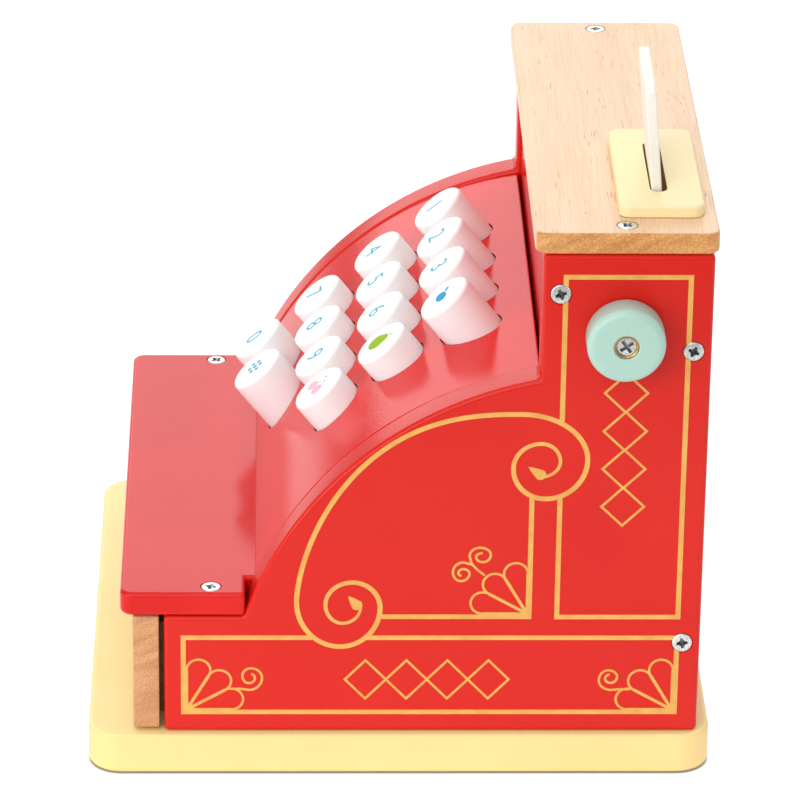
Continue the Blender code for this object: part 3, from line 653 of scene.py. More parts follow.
def make_base():
    piece = cube(*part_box("base_board"))
    corner_posts(piece, BASE_CORNER, 14)
    rounded(piece, BOARD_ROUNDING, 4)
    even_shading(piece)
    paint(piece, "base", cream_paint, "housing", "cream_paint", "base_board")
    # Upright edge faces take the darker cream copy, which is painted shade on the base's edges.
    second_finish(piece, cream_edge_shade, lambda face: abs(face.normal.z) < 0.6)


def sweep_points(start, end, radius, steps):
    """Points of the arc that bulges up and to the front, from its foot to its top, in Y and Z."""
    chord = end - start
    away = math.sqrt(radius * radius - chord.length_squared / 4)
    centre = (start + end) / 2 + Vector((chord.y, -chord.x)).normalized() * away
    first, last = (math.degrees(math.atan2(*(point - centre).yx)) for point in (start, end))
    return centre, arc(centre, radius, first, last, steps)


def drill_for(nodes, outward):
    """One cutter of screw holes with their countersinks, where some CAD screws are."""
    head = SCREW_HEAD_RADIUS + HOLE_PLAY
    shank = SCREW_SHANK_RADIUS + HOLE_PLAY
    profile = [(0, 0.001), (head, 0.001), (head, -0.0004), (shank, -0.0024)]
    profile += [(shank, -DRILL_DEPTH), (0, -DRILL_DEPTH)]
    return join([turn_to(turned(profile, 48), screw_spot(node, outward), outward) for node in nodes])


def screw_spot(node, outward):
    """Centre of a screw's head, from its CAD node."""
    low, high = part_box(node)
    middle = (low + high) / 2
    for axis in range(3):
        if outward[axis]:
            middle[axis] = high[axis] if outward[axis] > 0 else low[axis]
    return middle


def make_side(hand, side):
    low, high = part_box(f"{hand}_side_panel")
    _, points = sweep_points(SWEEP_FOOT, SWEEP_TOP, SWEEP_RADIUS, 48)
    outline = [(low.y, low.z), (low.y, SWEEP_FOOT.y)] + points
    outline += [(SWEEP_TOP.x, high.z), (high.y, high.z), (high.y, low.z)]
    piece = cut_board([(low.x, y, z) for y, z in outline], (high.x - low.x, 0, 0))
    rounded(piece, BOARD_ROUNDING, 3)
    cut(piece, drill_for([f"{hand}_side_screw_{number}" for number in (1, 2, 3)], (side, 0, 0)))
    even_shading(piece)
    paint(piece, f"{hand}_side", red_side, "housing", "red_paint", f"{hand}_side_panel")


def make_flat_panels():
    for node in ("back_panel", "tower_front_panel"):
        low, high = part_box(node)
        if node == "tower_front_panel":
            low.y += TOWER_FRONT_SETBACK
        piece = cube(low, high)
        rounded(piece, PANEL_ROUNDING, 2)
        even_shading(piece)
        paint(piece, node.replace("_panel", "_board"), red_board, "housing", "red_paint", node)


def make_shelf():
    low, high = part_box("front_shelf")
    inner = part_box("key_panel")[1].x
    rear = SWEEP_FOOT.x + SHELF_PLAY
    tongue = high.y + SHELF_TONGUE_EXTRA
    outline = [(low.x, low.y), (high.x, low.y), (high.x, rear), (inner, rear)]
    outline += [(inner, tongue), (-inner, tongue), (-inner, rear), (low.x, rear)]
    piece = cut_board([(x, y, low.z) for x, y in outline], (0, 0, high.z - low.z))
    front = low.y + LEVEL
    bevel_edges(piece, lambda a, b: abs(a.z - b.z) > LEVEL and a.y < front, SHELF_CORNER, 10)
    rounded(piece, BOARD_ROUNDING, 3)
    cut(piece, drill_for(["right_shelf_screw", "left_shelf_screw"], UPWARD))
    even_shading(piece)
    paint(piece, "shelf", red_shelf, "housing", "red_paint", "front_shelf")


def make_key_panel(caps):
    low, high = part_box("key_panel")
    foot = Vector((low.y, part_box("front_shelf")[1].z - 0.0006))
    top = Vector((SWEEP_TOP.x, SWEEP_TOP.y - KEY_PANEL_TOP_INSET))
    centre, outer = sweep_points(foot, top, KEY_PANEL_RADIUS, 56)
    inner_radius = KEY_PANEL_RADIUS - KEY_PANEL_THICK
    rise, run = low.z - centre.y, SWEEP_TOP.x - centre.x
    start = math.degrees(math.atan2(rise, -math.sqrt(inner_radius ** 2 - rise ** 2)))
    end = math.degrees(math.atan2(math.sqrt(inner_radius ** 2 - run ** 2), run))
    inner = arc(centre, inner_radius, start, end, 40)
    rear = SWEEP_TOP.x + PANEL_LAP
    lap = [(rear, inner[-1][1]), (rear, top.y)]
    outline = [(low.y, low.z)] + inner + lap + outer[::-1]
    piece = cut_board([(low.x, y, z) for y, z in outline], (high.x - low.x, 0, 0))
    rounded(piece, CURVE_ROUNDING, 3)
    middles = [cap - KEY_AXIS * KEY_LENGTH for cap in caps]
    drills = [rod(64, KEY_HOLE_RADIUS, 0.06, middle, (KEY_TILT, 0, 0)) for middle in middles]
    cut(piece, join(drills))
    even_shading(piece, 25)
    paint(piece, "key_curve", red_curve, "housing", "red_paint", "key_panel")


def make_top():
    piece = cube(*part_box("top_cap"))
    corner_posts(piece, CAP_CORNER, 8)
    rounded(piece, WOOD_ROUNDING, 3)
    cut(piece, drill_for(["right_cap_screw", "left_cap_screw"], UPWARD))
    cut(piece, card_slot())
    even_shading(piece)
    paint(piece, "top_board", cap_wood, "housing", "lacquered_wood", "top_cap")


def card_slot():
    """A round-ended cutter for the slot that the card stands in."""
    low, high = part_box("card_slot_block")
    middle = (low + high) / 2
    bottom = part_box("top_cap")[1].z - SLOT_DEPTH_IN_CAP
    straight = SLOT_HALF - SLOT_END
    y = middle.y - SLOT_FORWARD
    outline = arc((middle.x + straight, y), SLOT_END, -90, 90, 16)
    outline += arc((middle.x - straight, y), SLOT_END, 90, 270, 16)
    return cut_board([(x, depth, bottom) for x, depth in outline], (0, 0, 0.015))


def make_card_block():
    low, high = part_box("card_slot_block")
    piece = cube(low, high)
    corner_posts(piece, BLOCK_CORNER, 10)
    bevel_edges(piece, lambda a, b: min(a.z, b.z) > high.z - LEVEL, CURVE_ROUNDING, 3)
    cut(piece, card_slot())
    even_shading(piece)
    paint(piece, "card_block", block_paint, "housing", "cream_paint", "card_slot_block")
    middle, room = (low + high) / 2, (high - low) / 2

    def inside(face):
        away = face.center - middle
        in_slot = abs(away.x) < room.x - 0.002 and abs(away.y) < room.y - 0.002
        return in_slot and abs(face.normal.z) < 0.1

    # The slot's walls show bare wood, darkened as painted shade for the slot's depth.
    second_finish(piece, slot_wood_and_shade, inside)


def make_card():
    """The card is the CAD one with finer edges: drawn upright, then leaned about its foot."""
    low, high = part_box("card")
    length = (high.z - low.z - CARD_THICK * math.sin(CARD_LEAN)) / math.cos(CARD_LEAN)
    half = (high.x - low.x) / 2
    piece = cube((-half, -CARD_THICK / 2, -length / 2), (half, CARD_THICK / 2, length / 2))
    bevel_edges(piece, lambda a, b: abs(a.y - b.y) > LEVEL, CARD_CORNER, 10)
    rounded(piece, PANEL_ROUNDING, 3)
    even_shading(piece)
    forward = CARD_FORWARD + (CARD_LEAN - CAD_CARD_LEAN) * length / 2
    piece.location = (low + high) / 2 - Vector((0, forward, 0))
    piece.rotation_euler = (CARD_LEAN, 0, CARD_YAW)
    settle(piece)
    paint(piece, "price_card", card_paint, "card_body", "white_paint", "card")


# Keys

def make_key():
    """A dowel key along +Z with its cap's centre at the origin, and its thin stem below."""
    shoulder = arc((KEY_RADIUS - KEY_ROUNDING, -KEY_ROUNDING), KEY_ROUNDING, 90, 0, 6)
    head_top = -KEY_BOARD_UNDERSIDE
    head_bottom = head_top - STEM_HEAD_THICK
    profile = [(0, 0), (0.004, 0)] + shoulder + [
        (KEY_RADIUS, -KEY_LENGTH / 2),
        (KEY_RADIUS, -KEY_LENGTH + 0.0006),
        (KEY_RADIUS - 0.0006, -KEY_LENGTH),
        (STEM_RADIUS, -KEY_LENGTH),
        (STEM_RADIUS, head_top),
        (STEM_HEAD_RADIUS - 0.0003, head_top),
        (STEM_HEAD_RADIUS, head_top - 0.0003),
        (STEM_HEAD_RADIUS, head_bottom),
        (0, head_bottom),
    ]
    return smooth(turned(profile, 72))


def make_spring():
    """A coil of round wire along +Z, made by a small ring wound round the axis."""
    start = (SPRING_RADIUS, 0, SPRING_LOW)
    deselect()
    bpy.ops.mesh.primitive_circle_add(
        vertices=8, radius=SPRING_WIRE, fill_type="NGON", location=start, rotation=(math.pi / 2, 0, 0)
    )
    piece = settle(bpy.context.object)
    wind = piece.modifiers.new("winding", "SCREW")
    wind.angle = 2 * math.pi * SPRING_TURNS
    wind.screw_offset = SPRING_HIGH - SPRING_LOW
    wind.steps = 24 * SPRING_TURNS
    wind.render_steps = 24 * SPRING_TURNS
    apply_last(piece)
    only(face_out(piece))
    bpy.ops.object.shade_smooth()
    return piece


def stand_on_slope(piece, cap, lift=0.0):
    piece.location = cap + KEY_AXIS * lift
    piece.rotation_euler = (KEY_TILT, 0, 0)
    return settle(piece)


def place_caps():
    """Centres of the keys' caps, row by row from the top: three rows of four and one of two."""
    caps = []
    for row, columns in enumerate((4, 4, 4, 2)):
        for column in range(columns):
            aside = Vector(((column - 1.5) * COLUMN_STEP, 0, 0))
            caps.append(TOP_ROW + ROW_STEP * row + aside)
    return caps


def make_keys(caps):
    key, spring = make_key(), make_spring()
    for number, cap in enumerate(caps, 1):
        name = f"key_{number:02d}"
        made = stand_on_slope(copy_of(key), cap)
        paint(made, f"round_{name}", white_paint, f"{name}_body", "white_paint", name)
        coil = stand_on_slope(copy_of(spring), cap)
        node = f"key_spring_{number:02d}"
        paint(coil, f"coil_{number:02d}", bright_steel, "housing", "bright_steel", node)
        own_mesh(coil)
    bpy.data.objects.remove(key)
    bpy.data.objects.remove(spring)


# Symbols on the keys, drawn flat with +Y up the slope, in millimetres

def blob(x, y, width, height, turn=0.0):
    """A filled oval."""
    deselect()
    bpy.ops.mesh.primitive_circle_add(vertices=32, radius=0.5, fill_type="NGON")
    piece = bpy.context.object
    piece.scale = (width * MM, height * MM, 1)
    piece.location = (x * MM, y * MM, 0)
    piece.rotation_euler.z = math.radians(turn)
    return settle(piece)


def stroke(points, width):
    """A thin line through points, in millimetres."""
    piece = trace([(x * MM, y * MM, 0) for x, y in points])
    extrude((0, 0, INK_HEIGHT))
    leave_edit()
    thicken(piece, width * MM)
    return piece


def thicken(piece, width, group=None):
    """Gives a thin wall its width; a vertex group makes it thinner in places."""
    solid = piece.modifiers.new("line width", "SOLIDIFY")
    solid.thickness = width
    solid.offset = 0
    solid.use_even_offset = True
    if group:
        solid.vertex_group = group
        solid.thickness_vertex_group = 0.0
    apply_last(piece)


def raise_flat(piece, height=INK_HEIGHT):
    """Gives flat faces a small thickness."""
    only(piece)
    edit_all()
    extrude((0, 0, height))
    mend()
    return piece


def leaf(x, y, length, width, turn):
    """A filled pointed leaf from its stalk end."""
    half = [(step / 8, math.sin(math.pi * step / 8) * 0.5) for step in range(9)]
    outline = half + [(a, -b) for a, b in half[-2:0:-1]]
    along = Matrix.Rotation(math.radians(turn), 2)
    points = [Vector((x, y)) + along @ Vector((a * length, b * width)) for a, b in outline]
    piece = trace([(*point * MM, 0) for point in points + points[:1]])
    bpy.ops.mesh.edge_face_add()
    leave_edit()
    return piece


def make_digit(text):
    deselect()
    bpy.ops.object.text_add()
    piece = bpy.context.object
    letter = piece.data
    letter.body = text
    letter.size = DIGIT_SIZE * MM
    letter.align_x = letter.align_y = "CENTER"
    letter.offset = DIGIT_THINNING * MM
    letter.extrude = INK_HEIGHT / 2
    letter.resolution_u = 6
    only(piece)
    bpy.ops.object.convert(target="MESH")
    piece = bpy.context.object
    heights = [vertex.co.y for vertex in piece.data.vertices]
    middle = (min(heights) + max(heights)) / 2
    piece.location = (0, -middle - DIGIT_DROP * MM, INK_HEIGHT / 2)
    return in_finish(settle(piece), ink_blue)


def make_plum():
    fruit = raise_flat(blob(0.4, -0.6, 6.4, 4.6, turn=8))
    sprig = raise_flat(leaf(-1.2, 1.2, 3.4, 1.5, 150))
    return [in_finish(piece, ink_plum) for piece in (fruit, sprig)]


def make_apple():
    fruit = raise_flat(blob(-0.3, -1.2, 8.0, 7.4))
    neck = raise_flat(blob(0.3, 1.4, 5.2, 5.2), INK_HEIGHT * 0.9)
    stem = stroke([(0.7, 4.3), (1.0, 5.2), (1.7, 6.2)], 0.55)
    return [in_finish(piece, ink_green) for piece in (fruit, neck, stem)]


def make_cherries():
    parts = [raise_flat(blob(-2.4, -1.7, 5.2, 4.8)), raise_flat(blob(2.7, -0.3, 5.2, 4.8))]
    parts.append(stroke([(-2.0, 0.4), (-0.6, 2.6), (0.8, 4.0)], 0.45))
    parts.append(stroke([(2.2, 1.6), (1.6, 3.0), (0.8, 4.0)], 0.45))
    tip = raise_flat(blob(-1.9, 4.4, 0.9, 0.8))
    return [in_finish(piece, ink_pink) for piece in parts] + [in_finish(tip, ink_leaf)]


def make_berries():
    """A little bunch of six dots round a middle one."""
    parts = []
    for step in range(6):
        turn = math.radians(60 * step + 15)
        parts.append(raise_flat(blob(2.8 * math.cos(turn), 2.6 * math.sin(turn), 2.0, 1.6)))
    parts.append(raise_flat(blob(0, 0, 2.2, 1.7)))
    return [in_finish(piece, ink_blue) for piece in parts]


def make_symbols(caps):
    pictures = {4: make_plum, 8: make_apple, 12: make_cherries, 14: make_berries}
    digits = {1: "1", 2: "2", 3: "3", 5: "4", 6: "5", 7: "6", 9: "7", 10: "8", 11: "9", 13: "0"}
    for number, cap in enumerate(caps, 1):
        if number in pictures:
            piece = join(pictures[number]())
        else:
            piece = make_digit(digits[number])
        stand_on_slope(piece, cap, -INK_HEIGHT * 0.2)
        paint(piece, f"symbol_{number:02d}", None, f"key_{number:02d}_body", "key_print")


# Screws

def make_phillips():
    """A countersunk screw along +Z with a cross recess, its head's top at the origin."""
    rim = SCREW_HEAD_RADIUS
    profile = [
        (0, 0.00012),
        (0.002, 0.0001),
        (rim - 0.0003, 0.00002),
        (rim, -0.00025),
        (rim, -0.0005),
        (SCREW_SHANK_RADIUS, -0.0023),
        (SCREW_SHANK_RADIUS, -SCREW_LENGTH + 0.003),
        (0, -SCREW_LENGTH),
    ]
    piece = turned(profile, 48)
    foot = -0.0018
    for turn in (0, 90):
        blade = cube((-0.0025, -0.00062, foot), (0.0025, 0.00062, 0.001))
        pick_edges(blade, lambda a, b: max(a.z, b.z) < foot + LEVEL)
        bpy.ops.transform.resize(value=(0.35, 0.6, 1), center_override=(0, 0, foot))
        leave_edit()
        blade.rotation_euler.z = math.radians(turn)
        cut(piece, settle(blade))
    deselect()
    bpy.ops.mesh.primitive_cone_add(
        vertices=24, radius1=0.0002, radius2=0.0015, depth=0.0024, location=(0, 0, -0.0008)
    )
    cut(piece, settle(bpy.context.object))
    return in_zinc(piece)


def in_zinc(piece):
    """Finishes a screw, with a darker zinc down in its recess as painted shade."""
    even_shading(piece, 30)
    in_finish(piece, zinc)
    second_finish(piece, recess_shade_zinc, in_recess)
    return piece


def in_recess(face):
    """Faces of a driver's cross in a screw that stands along +Z."""
    deep = -0.0021 < face.center.z < -0.00012
    return deep and face.center.xy.length < 0.0028 and face.normal.z > -0.05


def make_screws():
    model = make_phillips()
    spots = []
    for hand, side in (("right", 1), ("left", -1)):
        spots += [(f"{hand}_side_screw_{number}", (side, 0, 0)) for number in (1, 2, 3)]
        spots += [(f"{hand}_cap_screw", UPWARD), (f"{hand}_shelf_screw", UPWARD)]
    for (node, outward), turn in zip(spots, (20, 65, 8, 48, 74, 30, 55, 12, 80, 38)):
        piece = copy_of(model)
        piece.rotation_euler.z = math.radians(turn)
        settle(piece)
        proud = SIDE_SCREW_PROUD if outward[0] else 0.0
        turn_to(piece, screw_spot(node, outward) + Vector(outward) * proud, outward)
        paint(piece, f"cross_{node}", None, "housing", "zinc", node)
    bpy.data.objects.remove(model)


def make_knob_screw():
    rim, shank, under, tip = 0.0035, 0.0016, -0.0014, -0.018
    profile = [(0, 0.0001), (0.0032, 0), (rim, -0.0003), (rim, under)]
    piece = turned(profile + [(shank, under), (shank, tip), (0, tip)], 48)
    for turn in (35, 125):
        blade = cube((-0.0026, -0.0006, -0.0011), (0.0026, 0.0006, 0.001))
        blade.rotation_euler.z = math.radians(turn)
        cut(piece, settle(blade))
    in_zinc(piece)
    middle = knob_middle()
    turn_to(piece, (middle.x + KNOB_LENGTH - 0.0012, middle.y, middle.z), (1, 0, 0))
    paint(piece, "cross_knob_screw", None, "knob_assembly", "zinc", "knob_screw")


# Knob

def knob_middle():
    """The middle of the knob's inner face."""
    low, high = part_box("knob")
    return Vector((low.x, (low.y + high.y) / 2, (low.z + high.z) / 2))


def make_knob():
    """The knob with a counterbore for its screw, a bore for its shaft, and a ring round the screw."""
    face = KNOB_LENGTH
    seat = face - COUNTERBORE_DEPTH
    shoulder = arc((KNOB_RADIUS - KNOB_ROUNDING, face - KNOB_ROUNDING), KNOB_ROUNDING, 90, 0, 8)
    profile = [(COUNTERBORE_RADIUS, seat), (COUNTERBORE_RADIUS, face - 0.0004)]
    profile += [(COUNTERBORE_RADIUS + 0.0004, face)] + shoulder
    profile += [(KNOB_RADIUS, 0.0012), (KNOB_RADIUS - 0.0004, 0.0004), (KNOB_RADIUS - 0.0012, 0)]
    profile += [(COUNTERBORE_RADIUS, 0), (COUNTERBORE_RADIUS, SHAFT_BORE_DEPTH)]
    profile += [(SCREW_BORE_RADIUS, SHAFT_BORE_DEPTH), (SCREW_BORE_RADIUS, seat)]
    piece = smooth(turned(profile + [(COUNTERBORE_RADIUS, seat)], 96))
    middle = knob_middle()
    turn_to(piece, middle, (1, 0, 0))
    paint(piece, "turning_knob", mint_paint, "knob_assembly", "mint_paint", "knob")
    bore, wall, low, high = 0.0033, 0.00425, -0.0006, 0.0003
    profile = [(bore, low), (0.0034, 0.0), (0.0039, high), (wall, high), (wall, low), (bore, low)]
    ring = turned(profile, 64)
    turn_to(ring, middle + Vector((face - 0.0010, 0, 0)), (1, 0, 0))
    paint(ring, "knob_ring", brass_ring, "knob_assembly", "zinc")


# Drawer

def make_drawer():
    low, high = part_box("drawer_front")
    front = low - Vector((0, DRAWER_FRONT_FORWARD, 0))
    piece = cube(front, high + Vector((0, DRAWER_FRONT_BACKWARD, 0)))
    rounded(piece, 0.0007, 2)
    place = (0, (low.y + high.y) / 2, high.z)
    cut(piece, rod(96, FINGER_NOTCH_RADIUS, 0.03, place, (math.pi / 2, 0, 0)))
    rounded(piece, 0.0006, 2, 60)
    even_shading(piece)
    paint(piece, "drawer_face", drawer_wood, "drawer", "lacquered_wood", "drawer_front")
    for node in ("drawer_right_side", "drawer_left_side", "drawer_back", "drawer_bottom"):
        piece = cube(*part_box(node))
        rounded(piece, 0.0005, 2)
        even_shading(piece)
        paint(piece, node.replace("drawer", "tray"), raw_wood, "drawer", "raw_wood", node)


# Gold lines, drawn in millimetres as (Y, Z) on the side panel's face

# Each stroke lies a hair over the last, so that crossing strokes don't share a surface
COATS = itertools.cycle(range(11))


def next_coat():
    """Where the next stroke starts, just inside the right side, and how thick it is."""
    thick = PAINT_HEIGHT * 1.5 + next(COATS) * COAT_STEP
    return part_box("right_side_panel")[1].x - PAINT_HEIGHT / 2, (thick, 0, 0)


def side_line(points, width=LINE_WIDTH, shares=None):
    """A painted line on the right side; shares thins it along its length."""
    x, thick = next_coat()
    piece = trace([(x, y * MM, z * MM) for y, z in points])
    extrude(thick)
    leave_edit()
    group = None
    if shares:
        group = "thinning"
        thinning = piece.vertex_groups.new(name=group)
        marks = [Vector((y * MM, z * MM)) for y, z in points]
        for vertex in piece.data.vertices:
            spot = Vector((vertex.co.y, vertex.co.z))
            nearest = min(range(len(marks)), key=lambda index: (marks[index] - spot).length_squared)
            thinning.add([vertex.index], shares[nearest], "REPLACE")
    thicken(piece, width * MM, group)
    return piece


def side_shape(points):
    """A filled painted shape on the right side."""
    x, thick = next_coat()
    return cut_board([(x, y * MM, z * MM) for y, z in points], thick)


def quarter(start, end, from_side, bulges=(2.0, 2.0), steps=14):
    """A quarter of an oval between a side turning point and a top or bottom one."""
    points = []
    (y0, z0), (y1, z1) = start, end
    for step in range(steps):
        turn = math.pi / 2 * step / steps
        across, along = math.cos(turn) ** (2 / bulges[0]), math.sin(turn) ** (2 / bulges[1])
        if from_side:
            points.append((y1 + (y0 - y1) * across, z0 + (z1 - z0) * along))
        else:
            points.append((y0 + (y1 - y0) * along, z1 + (z0 - z1) * across))
    return points


def scroll(turning_points, side_first=True, long_stretch=None, bulges=(2.0, 2.0)):
    """A line through its turning points, which are in turn at its sides and its tops or bottoms."""
    points = []
    for index, (start, end) in enumerate(zip(turning_points, turning_points[1:])):
        from_side = (index % 2 == 0) == side_first
        if index == long_stretch:
            points += quarter(start, end, from_side, bulges, 44)
        else:
            points += quarter(start, end, from_side)
    return points + [turning_points[-1]]


def teardrop(tip, body, width):
    """A filled drop from a pointed tip to the middle of its round body."""
    tip, body = Vector(tip), Vector(body)
    along = (tip - body).normalized()
    across = Vector((-along.y, along.x))
    half = width / 2
    outline = [tip]
    reach = (tip - body).length
    for share in (0.75, 0.5, 0.25):
        outline.append(body + along * reach * share + across * half * (1 - share) ** 0.8)
    for step in range(13):
        turn = math.pi * step / 12
        outline.append(body + (across * math.cos(turn) - along * math.sin(turn)) * half)
    for share in (0.25, 0.5, 0.75):
        outline.append(body + along * reach * share - across * half * (1 - share) ** 0.8)
    return side_shape([tuple(point) for point in outline])


def petals(apex, first_angle):
    """Three teardrop petals of thirty degrees each, side by side from one apex."""
    reach, radius = 16.2, 4.2
    tangent = math.sqrt(reach ** 2 - radius ** 2)
    half = math.degrees(math.asin(radius / reach))
    lines = []
    for petal in range(4):
        ray = math.radians(first_angle + 30 * petal)
        end = (apex[0] + tangent * math.cos(ray), apex[1] + tangent * math.sin(ray))
        lines.append(side_line([apex, end], RAY_LINE))
    for petal in range(3):
        turn = first_angle + 15 + 30 * petal
        middle = math.radians(turn)
        centre = (apex[0] + reach * math.cos(middle), apex[1] + reach * math.sin(middle))
        round_end = arc(centre, radius, turn - 90 - half, turn + 90 + half, 18)
        lines.append(side_line(round_end, THIN_LINE))
    return lines


def diamond(y, z, width, height):
    half, rise = width / 2, height / 2
    corners = [(y - half, z), (y, z + rise), (y + half, z), (y, z - rise), (y - half, z)]
    return side_line(corners, THIN_LINE)


# Each curl: the points that lead into it, its turning points, and whether the first is at a side
CURLS = (
    ([(-59.6, 32.2), (-56.4, 32.3)],
     [(-53.1, 31.8), (-48.6, 36.6), (-52.5, 40.4), (-55.5, 37.4), (-53.3, 34.5), (-51.1, 36.4),
      (-52.4, 38.1)], False),
    ([(80.6, 32.0), (77.5, 32.1)],
     [(74.3, 31.8), (69.9, 35.7), (73.1, 39.6), (76.3, 37.1), (74.1, 34.6), (72.1, 36.3),
      (73.7, 37.9)], False),
    ([(28.9, 77.0), (26.1, 79.4), (24.3, 81.5)],
     [(23.5, 84.6), (27.2, 87.8), (30.9, 85.0), (28.1, 82.2), (25.8, 84.2), (28.0, 85.7)], True),
    ([(24.5, 81.2)],
     [(21.5, 82.1), (17.8, 78.3), (20.6, 74.8), (23.6, 77.7), (21.4, 79.5), (19.7, 77.9),
      (20.8, 76.9)], False),
)


def make_frames():
    """The band along the bottom and the tower's frame, both open where the scroll meets them."""
    left, right, low, high = -76.2, 96.9, 23.0, 52.5
    band = [(-31.2, high), (left, high), (left, low), (right, low), (right, high), (-13.0, high)]
    left, low, high = 54.4, 60.7, 190.4
    tower = [(left, 136.3), (left, high), (right, high), (right, low), (left, low), (left, 107.8)]
    lines = [side_line(band), side_line(tower)]
    for line in lines:
        for number in (1, 2, 3):
            spot = screw_spot(f"right_side_screw_{number}", (1, 0, 0))
            cut(line, rod(48, SCREW_HEAD_RADIUS, 0.004, spot, (0, math.pi / 2, 0)))
    # The corner of the quarter panel between them
    low, right = 60.8, 44.7
    return lines + [side_line([(-6.9, low), (right, low), (right, 107.4)])]


def make_scroll():
    """The long scroll, curled at both ends and thinner towards them, with a drop in each curl."""
    turning = [(-14.2, 64.7), (-20.5, 58.2), (-26.5, 65.5), (-17.1, 74.2), (-7.4, 64.2)]
    turning += [(-21.3, 49.0), (-36.6, 66.5), (40.5, 139.0), (63.6, 121.5), (49.3, 106.7)]
    turning += [(38.0, 118.3), (47.5, 127.8), (54.2, 121.0), (47.1, 115.0)]
    points = scroll(turning, long_stretch=6, bulges=(2.54, 1.64))
    last = len(points) - 1
    shares = [min(1.0, 0.55 + 0.45 * min(index, last - index) / 50) for index in range(last + 1)]
    lines = [side_line(points, shares=shares)]
    lines.append(teardrop((-18.6, 68.9), (-15.6, 65.4), 4.0))
    return lines + [teardrop((43.2, 119.0), (47.4, 116.0), 4.0)]


def make_gold_lines():
    lines = make_frames() + make_scroll()
    for number in range(4):
        lines.append(diamond(-12.3 + 14.4 * number, 36.0, 14.4, 15.2))
        lines.append(diamond(76.2, 147.1 - 14.45 * number, 14.8, 14.6))
    lines += petals((-75.1, 24.0), 0) + petals((95.9, 24.0), 90) + petals((44.0, 62.0), 90)
    for lead, turning, side_first in CURLS:
        lines.append(side_line(lead + scroll(turning, side_first), THIN_LINE))
    piece = face_out(join(lines))
    other = copy_of(piece)
    other.scale.x = -1
    face_out(settle(other))
    paint(piece, "right_gold_lines", gold_paint, "housing", "gold_paint")
    paint(other, "left_gold_lines", gold_paint, "housing", "gold_paint")


# Camera, floor and light

def make_camera():
    camera = bpy.data.cameras.new("camera")
    camera.sensor_width = 36
    camera.lens = 226.73
    camera.clip_start = 0.01
    holder = bpy.data.objects.new("camera", camera)
    bpy.context.scene.collection.objects.link(holder)
    yaw, pitch, roll = 0.02890458, -0.43629895, 0.01373525
    forward = Vector((-math.cos(yaw), math.sin(yaw), 0)) * math.cos(pitch)
    forward.z = math.sin(pitch)
    level = forward.cross(Vector((0, 0, 1))).normalized()
    upright = level.cross(forward)
    right = math.cos(roll) * level + math.sin(roll) * upright
    up = -math.sin(roll) * level + math.cos(roll) * upright
    turn = Matrix((right, up, -forward)).transposed().to_4x4()
    holder.matrix_world = Matrix.Translation((1.664529, -0.046656, 0.873698)) @ turn
    bpy.context.scene.camera = holder


def grey(value):
    return (value, value, value, 1)


def beyond_base_shadow(tree, place):
    """A mask of the painted contact shadow: 0 under the base, whose corners are round, and 1 a little
    way outside it.
    """
    low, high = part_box("base_board")
    inner = (high - low) / 2 - Vector((BASE_CORNER, BASE_CORNER, 0))
    centred = vector_maths(tree, "SUBTRACT", place, (low + high) / 2)
    size = vector_maths(tree, "ABSOLUTE", vector_maths(tree, "MULTIPLY", centred, (1, 1, 0)))
    past = vector_maths(tree, "MAXIMUM", vector_maths(tree, "SUBTRACT", size, inner))
    reach = add_node(tree, "ShaderNodeVectorMath", {0: past}, operation="LENGTH").outputs["Value"]
    return remap(tree, reach, BASE_CORNER - 0.0005, BASE_CORNER + 0.0007)


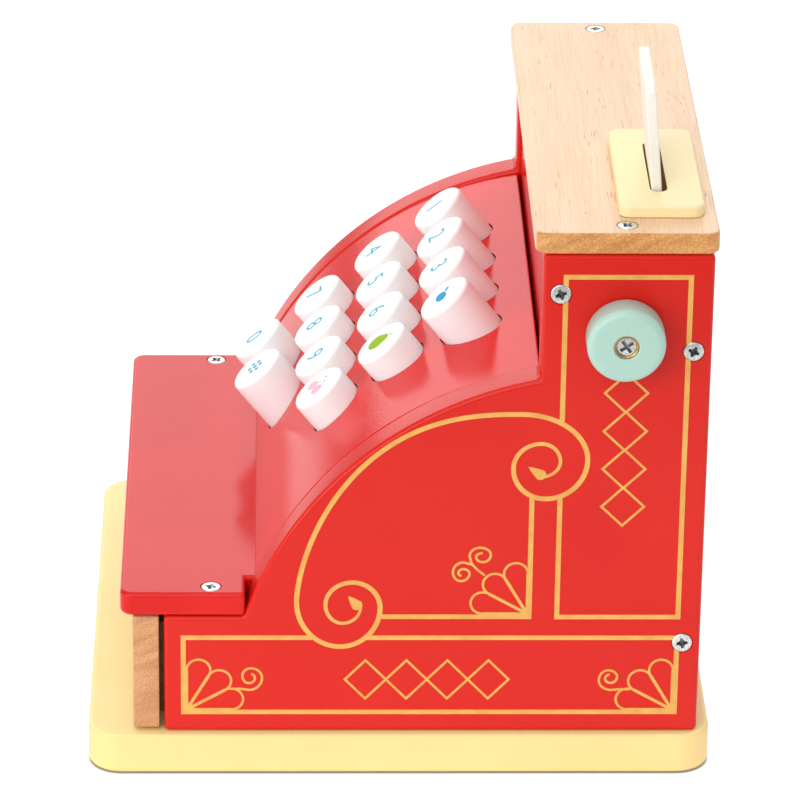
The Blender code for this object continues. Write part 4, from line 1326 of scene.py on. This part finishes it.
def make_floor():
    """A white floor that glows a little, darker far away behind the camera, with a painted contact
    shadow under the base and just round it.
    """
    deselect()
    bpy.ops.mesh.primitive_plane_add(size=8, location=(0, 0, -0.0002))
    floor = bpy.context.object
    floor.name = "floor"
    made, tree, shader, place = new_material("white floor", 0.6)
    shader.inputs["Specular IOR Level"].default_value = 0.1
    shader.inputs["Emission Strength"].default_value = 1.0
    inputs = {0: add_node(tree, "ShaderNodeSeparateXYZ", {0: place}).outputs["X"], 1: 0.40, 2: 0.60}
    far = add_node(tree, "ShaderNodeMapRange", inputs, interpolation_type="SMOOTHSTEP").outputs[0]
    seen = add_node(tree, "ShaderNodeLightPath").outputs["Is Camera Ray"]
    unseen = maths(tree, "SUBTRACT", 1.0, seen)
    far = maths(tree, "MULTIPLY", far, unseen)
    near_glow = blended(tree, unseen, grey(0.68), grey(0.62))
    glow = blended(tree, far, near_glow, grey(0.08))
    # Painted contact shadow: under the base and in a thin ring round it, the floor glows less and is
    # darker.
    outside = beyond_base_shadow(tree, place)
    glow = blended(tree, outside, (0.1, 0.1, 0.09, 1), glow)
    tree.links.new(glow, shader.inputs["Emission Color"])
    shade = blended(tree, far, grey(0.55), grey(0.25))
    shade = blended(tree, outside, (0.3, 0.28, 0.22, 1), shade)
    tree.links.new(shade, shader.inputs["Base Color"])
    floor.data.materials.append(made)


def softbox(name, place, aim, size, power):
    light = bpy.data.lights.new(name, "AREA")
    light.shape = "RECTANGLE"
    light.size, light.size_y = size
    light.energy = power
    holder = bpy.data.objects.new(name, light)
    bpy.context.scene.collection.objects.link(holder)
    holder.location = place
    holder.rotation_euler = (Vector(aim) - Vector(place)).to_track_quat("-Z", "Y").to_euler()


def make_light():
    world = bpy.data.worlds.new("white room")
    bpy.context.scene.world = world
    world.use_nodes = True
    background = world.node_tree.nodes["Background"]
    background.inputs["Color"].default_value = (1, 1, 1, 1)
    background.inputs["Strength"].default_value = 0.45
    softbox("softbox behind", (-1.6, 0.1, 1.0), (0, 0, 0.1), (2.2, 1.4), 16)
    softbox("softbox beside camera", (1.4, -0.6, 1.2), (0, 0, 0.1), (1.5, 1.2), 14)
    softbox("softbox above", (0.1, -0.3, 2.0), (0, 0, 0.1), (1.4, 1.4), 7)
    softbox("low front light", (1.1, -1.3, 0.5), (0, 0, 0.1), (1.2, 0.8), 9.5)
    softbox("low light behind right", (0.3, 1.6, 0.8), (0, 0.1, 0), (1.2, 0.8), 4)
    bpy.context.scene.view_settings.view_transform = "Standard"


caps = place_caps()
make_camera()
make_base()
make_side("right", 1)
make_side("left", -1)
make_flat_panels()
make_shelf()
make_key_panel(caps)
make_top()
make_card_block()
make_card()
make_keys(caps)
make_symbols(caps)
make_screws()
make_knob_screw()
make_knob()
make_drawer()
make_gold_lines()
for node in ("key_board", "knob_shaft", "striker_arm"):
    in_finish(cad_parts[node], raw_wood)
in_finish(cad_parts["bell"], bright_steel)
in_finish(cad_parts["bell_post"], zinc)
make_floor()
make_light()
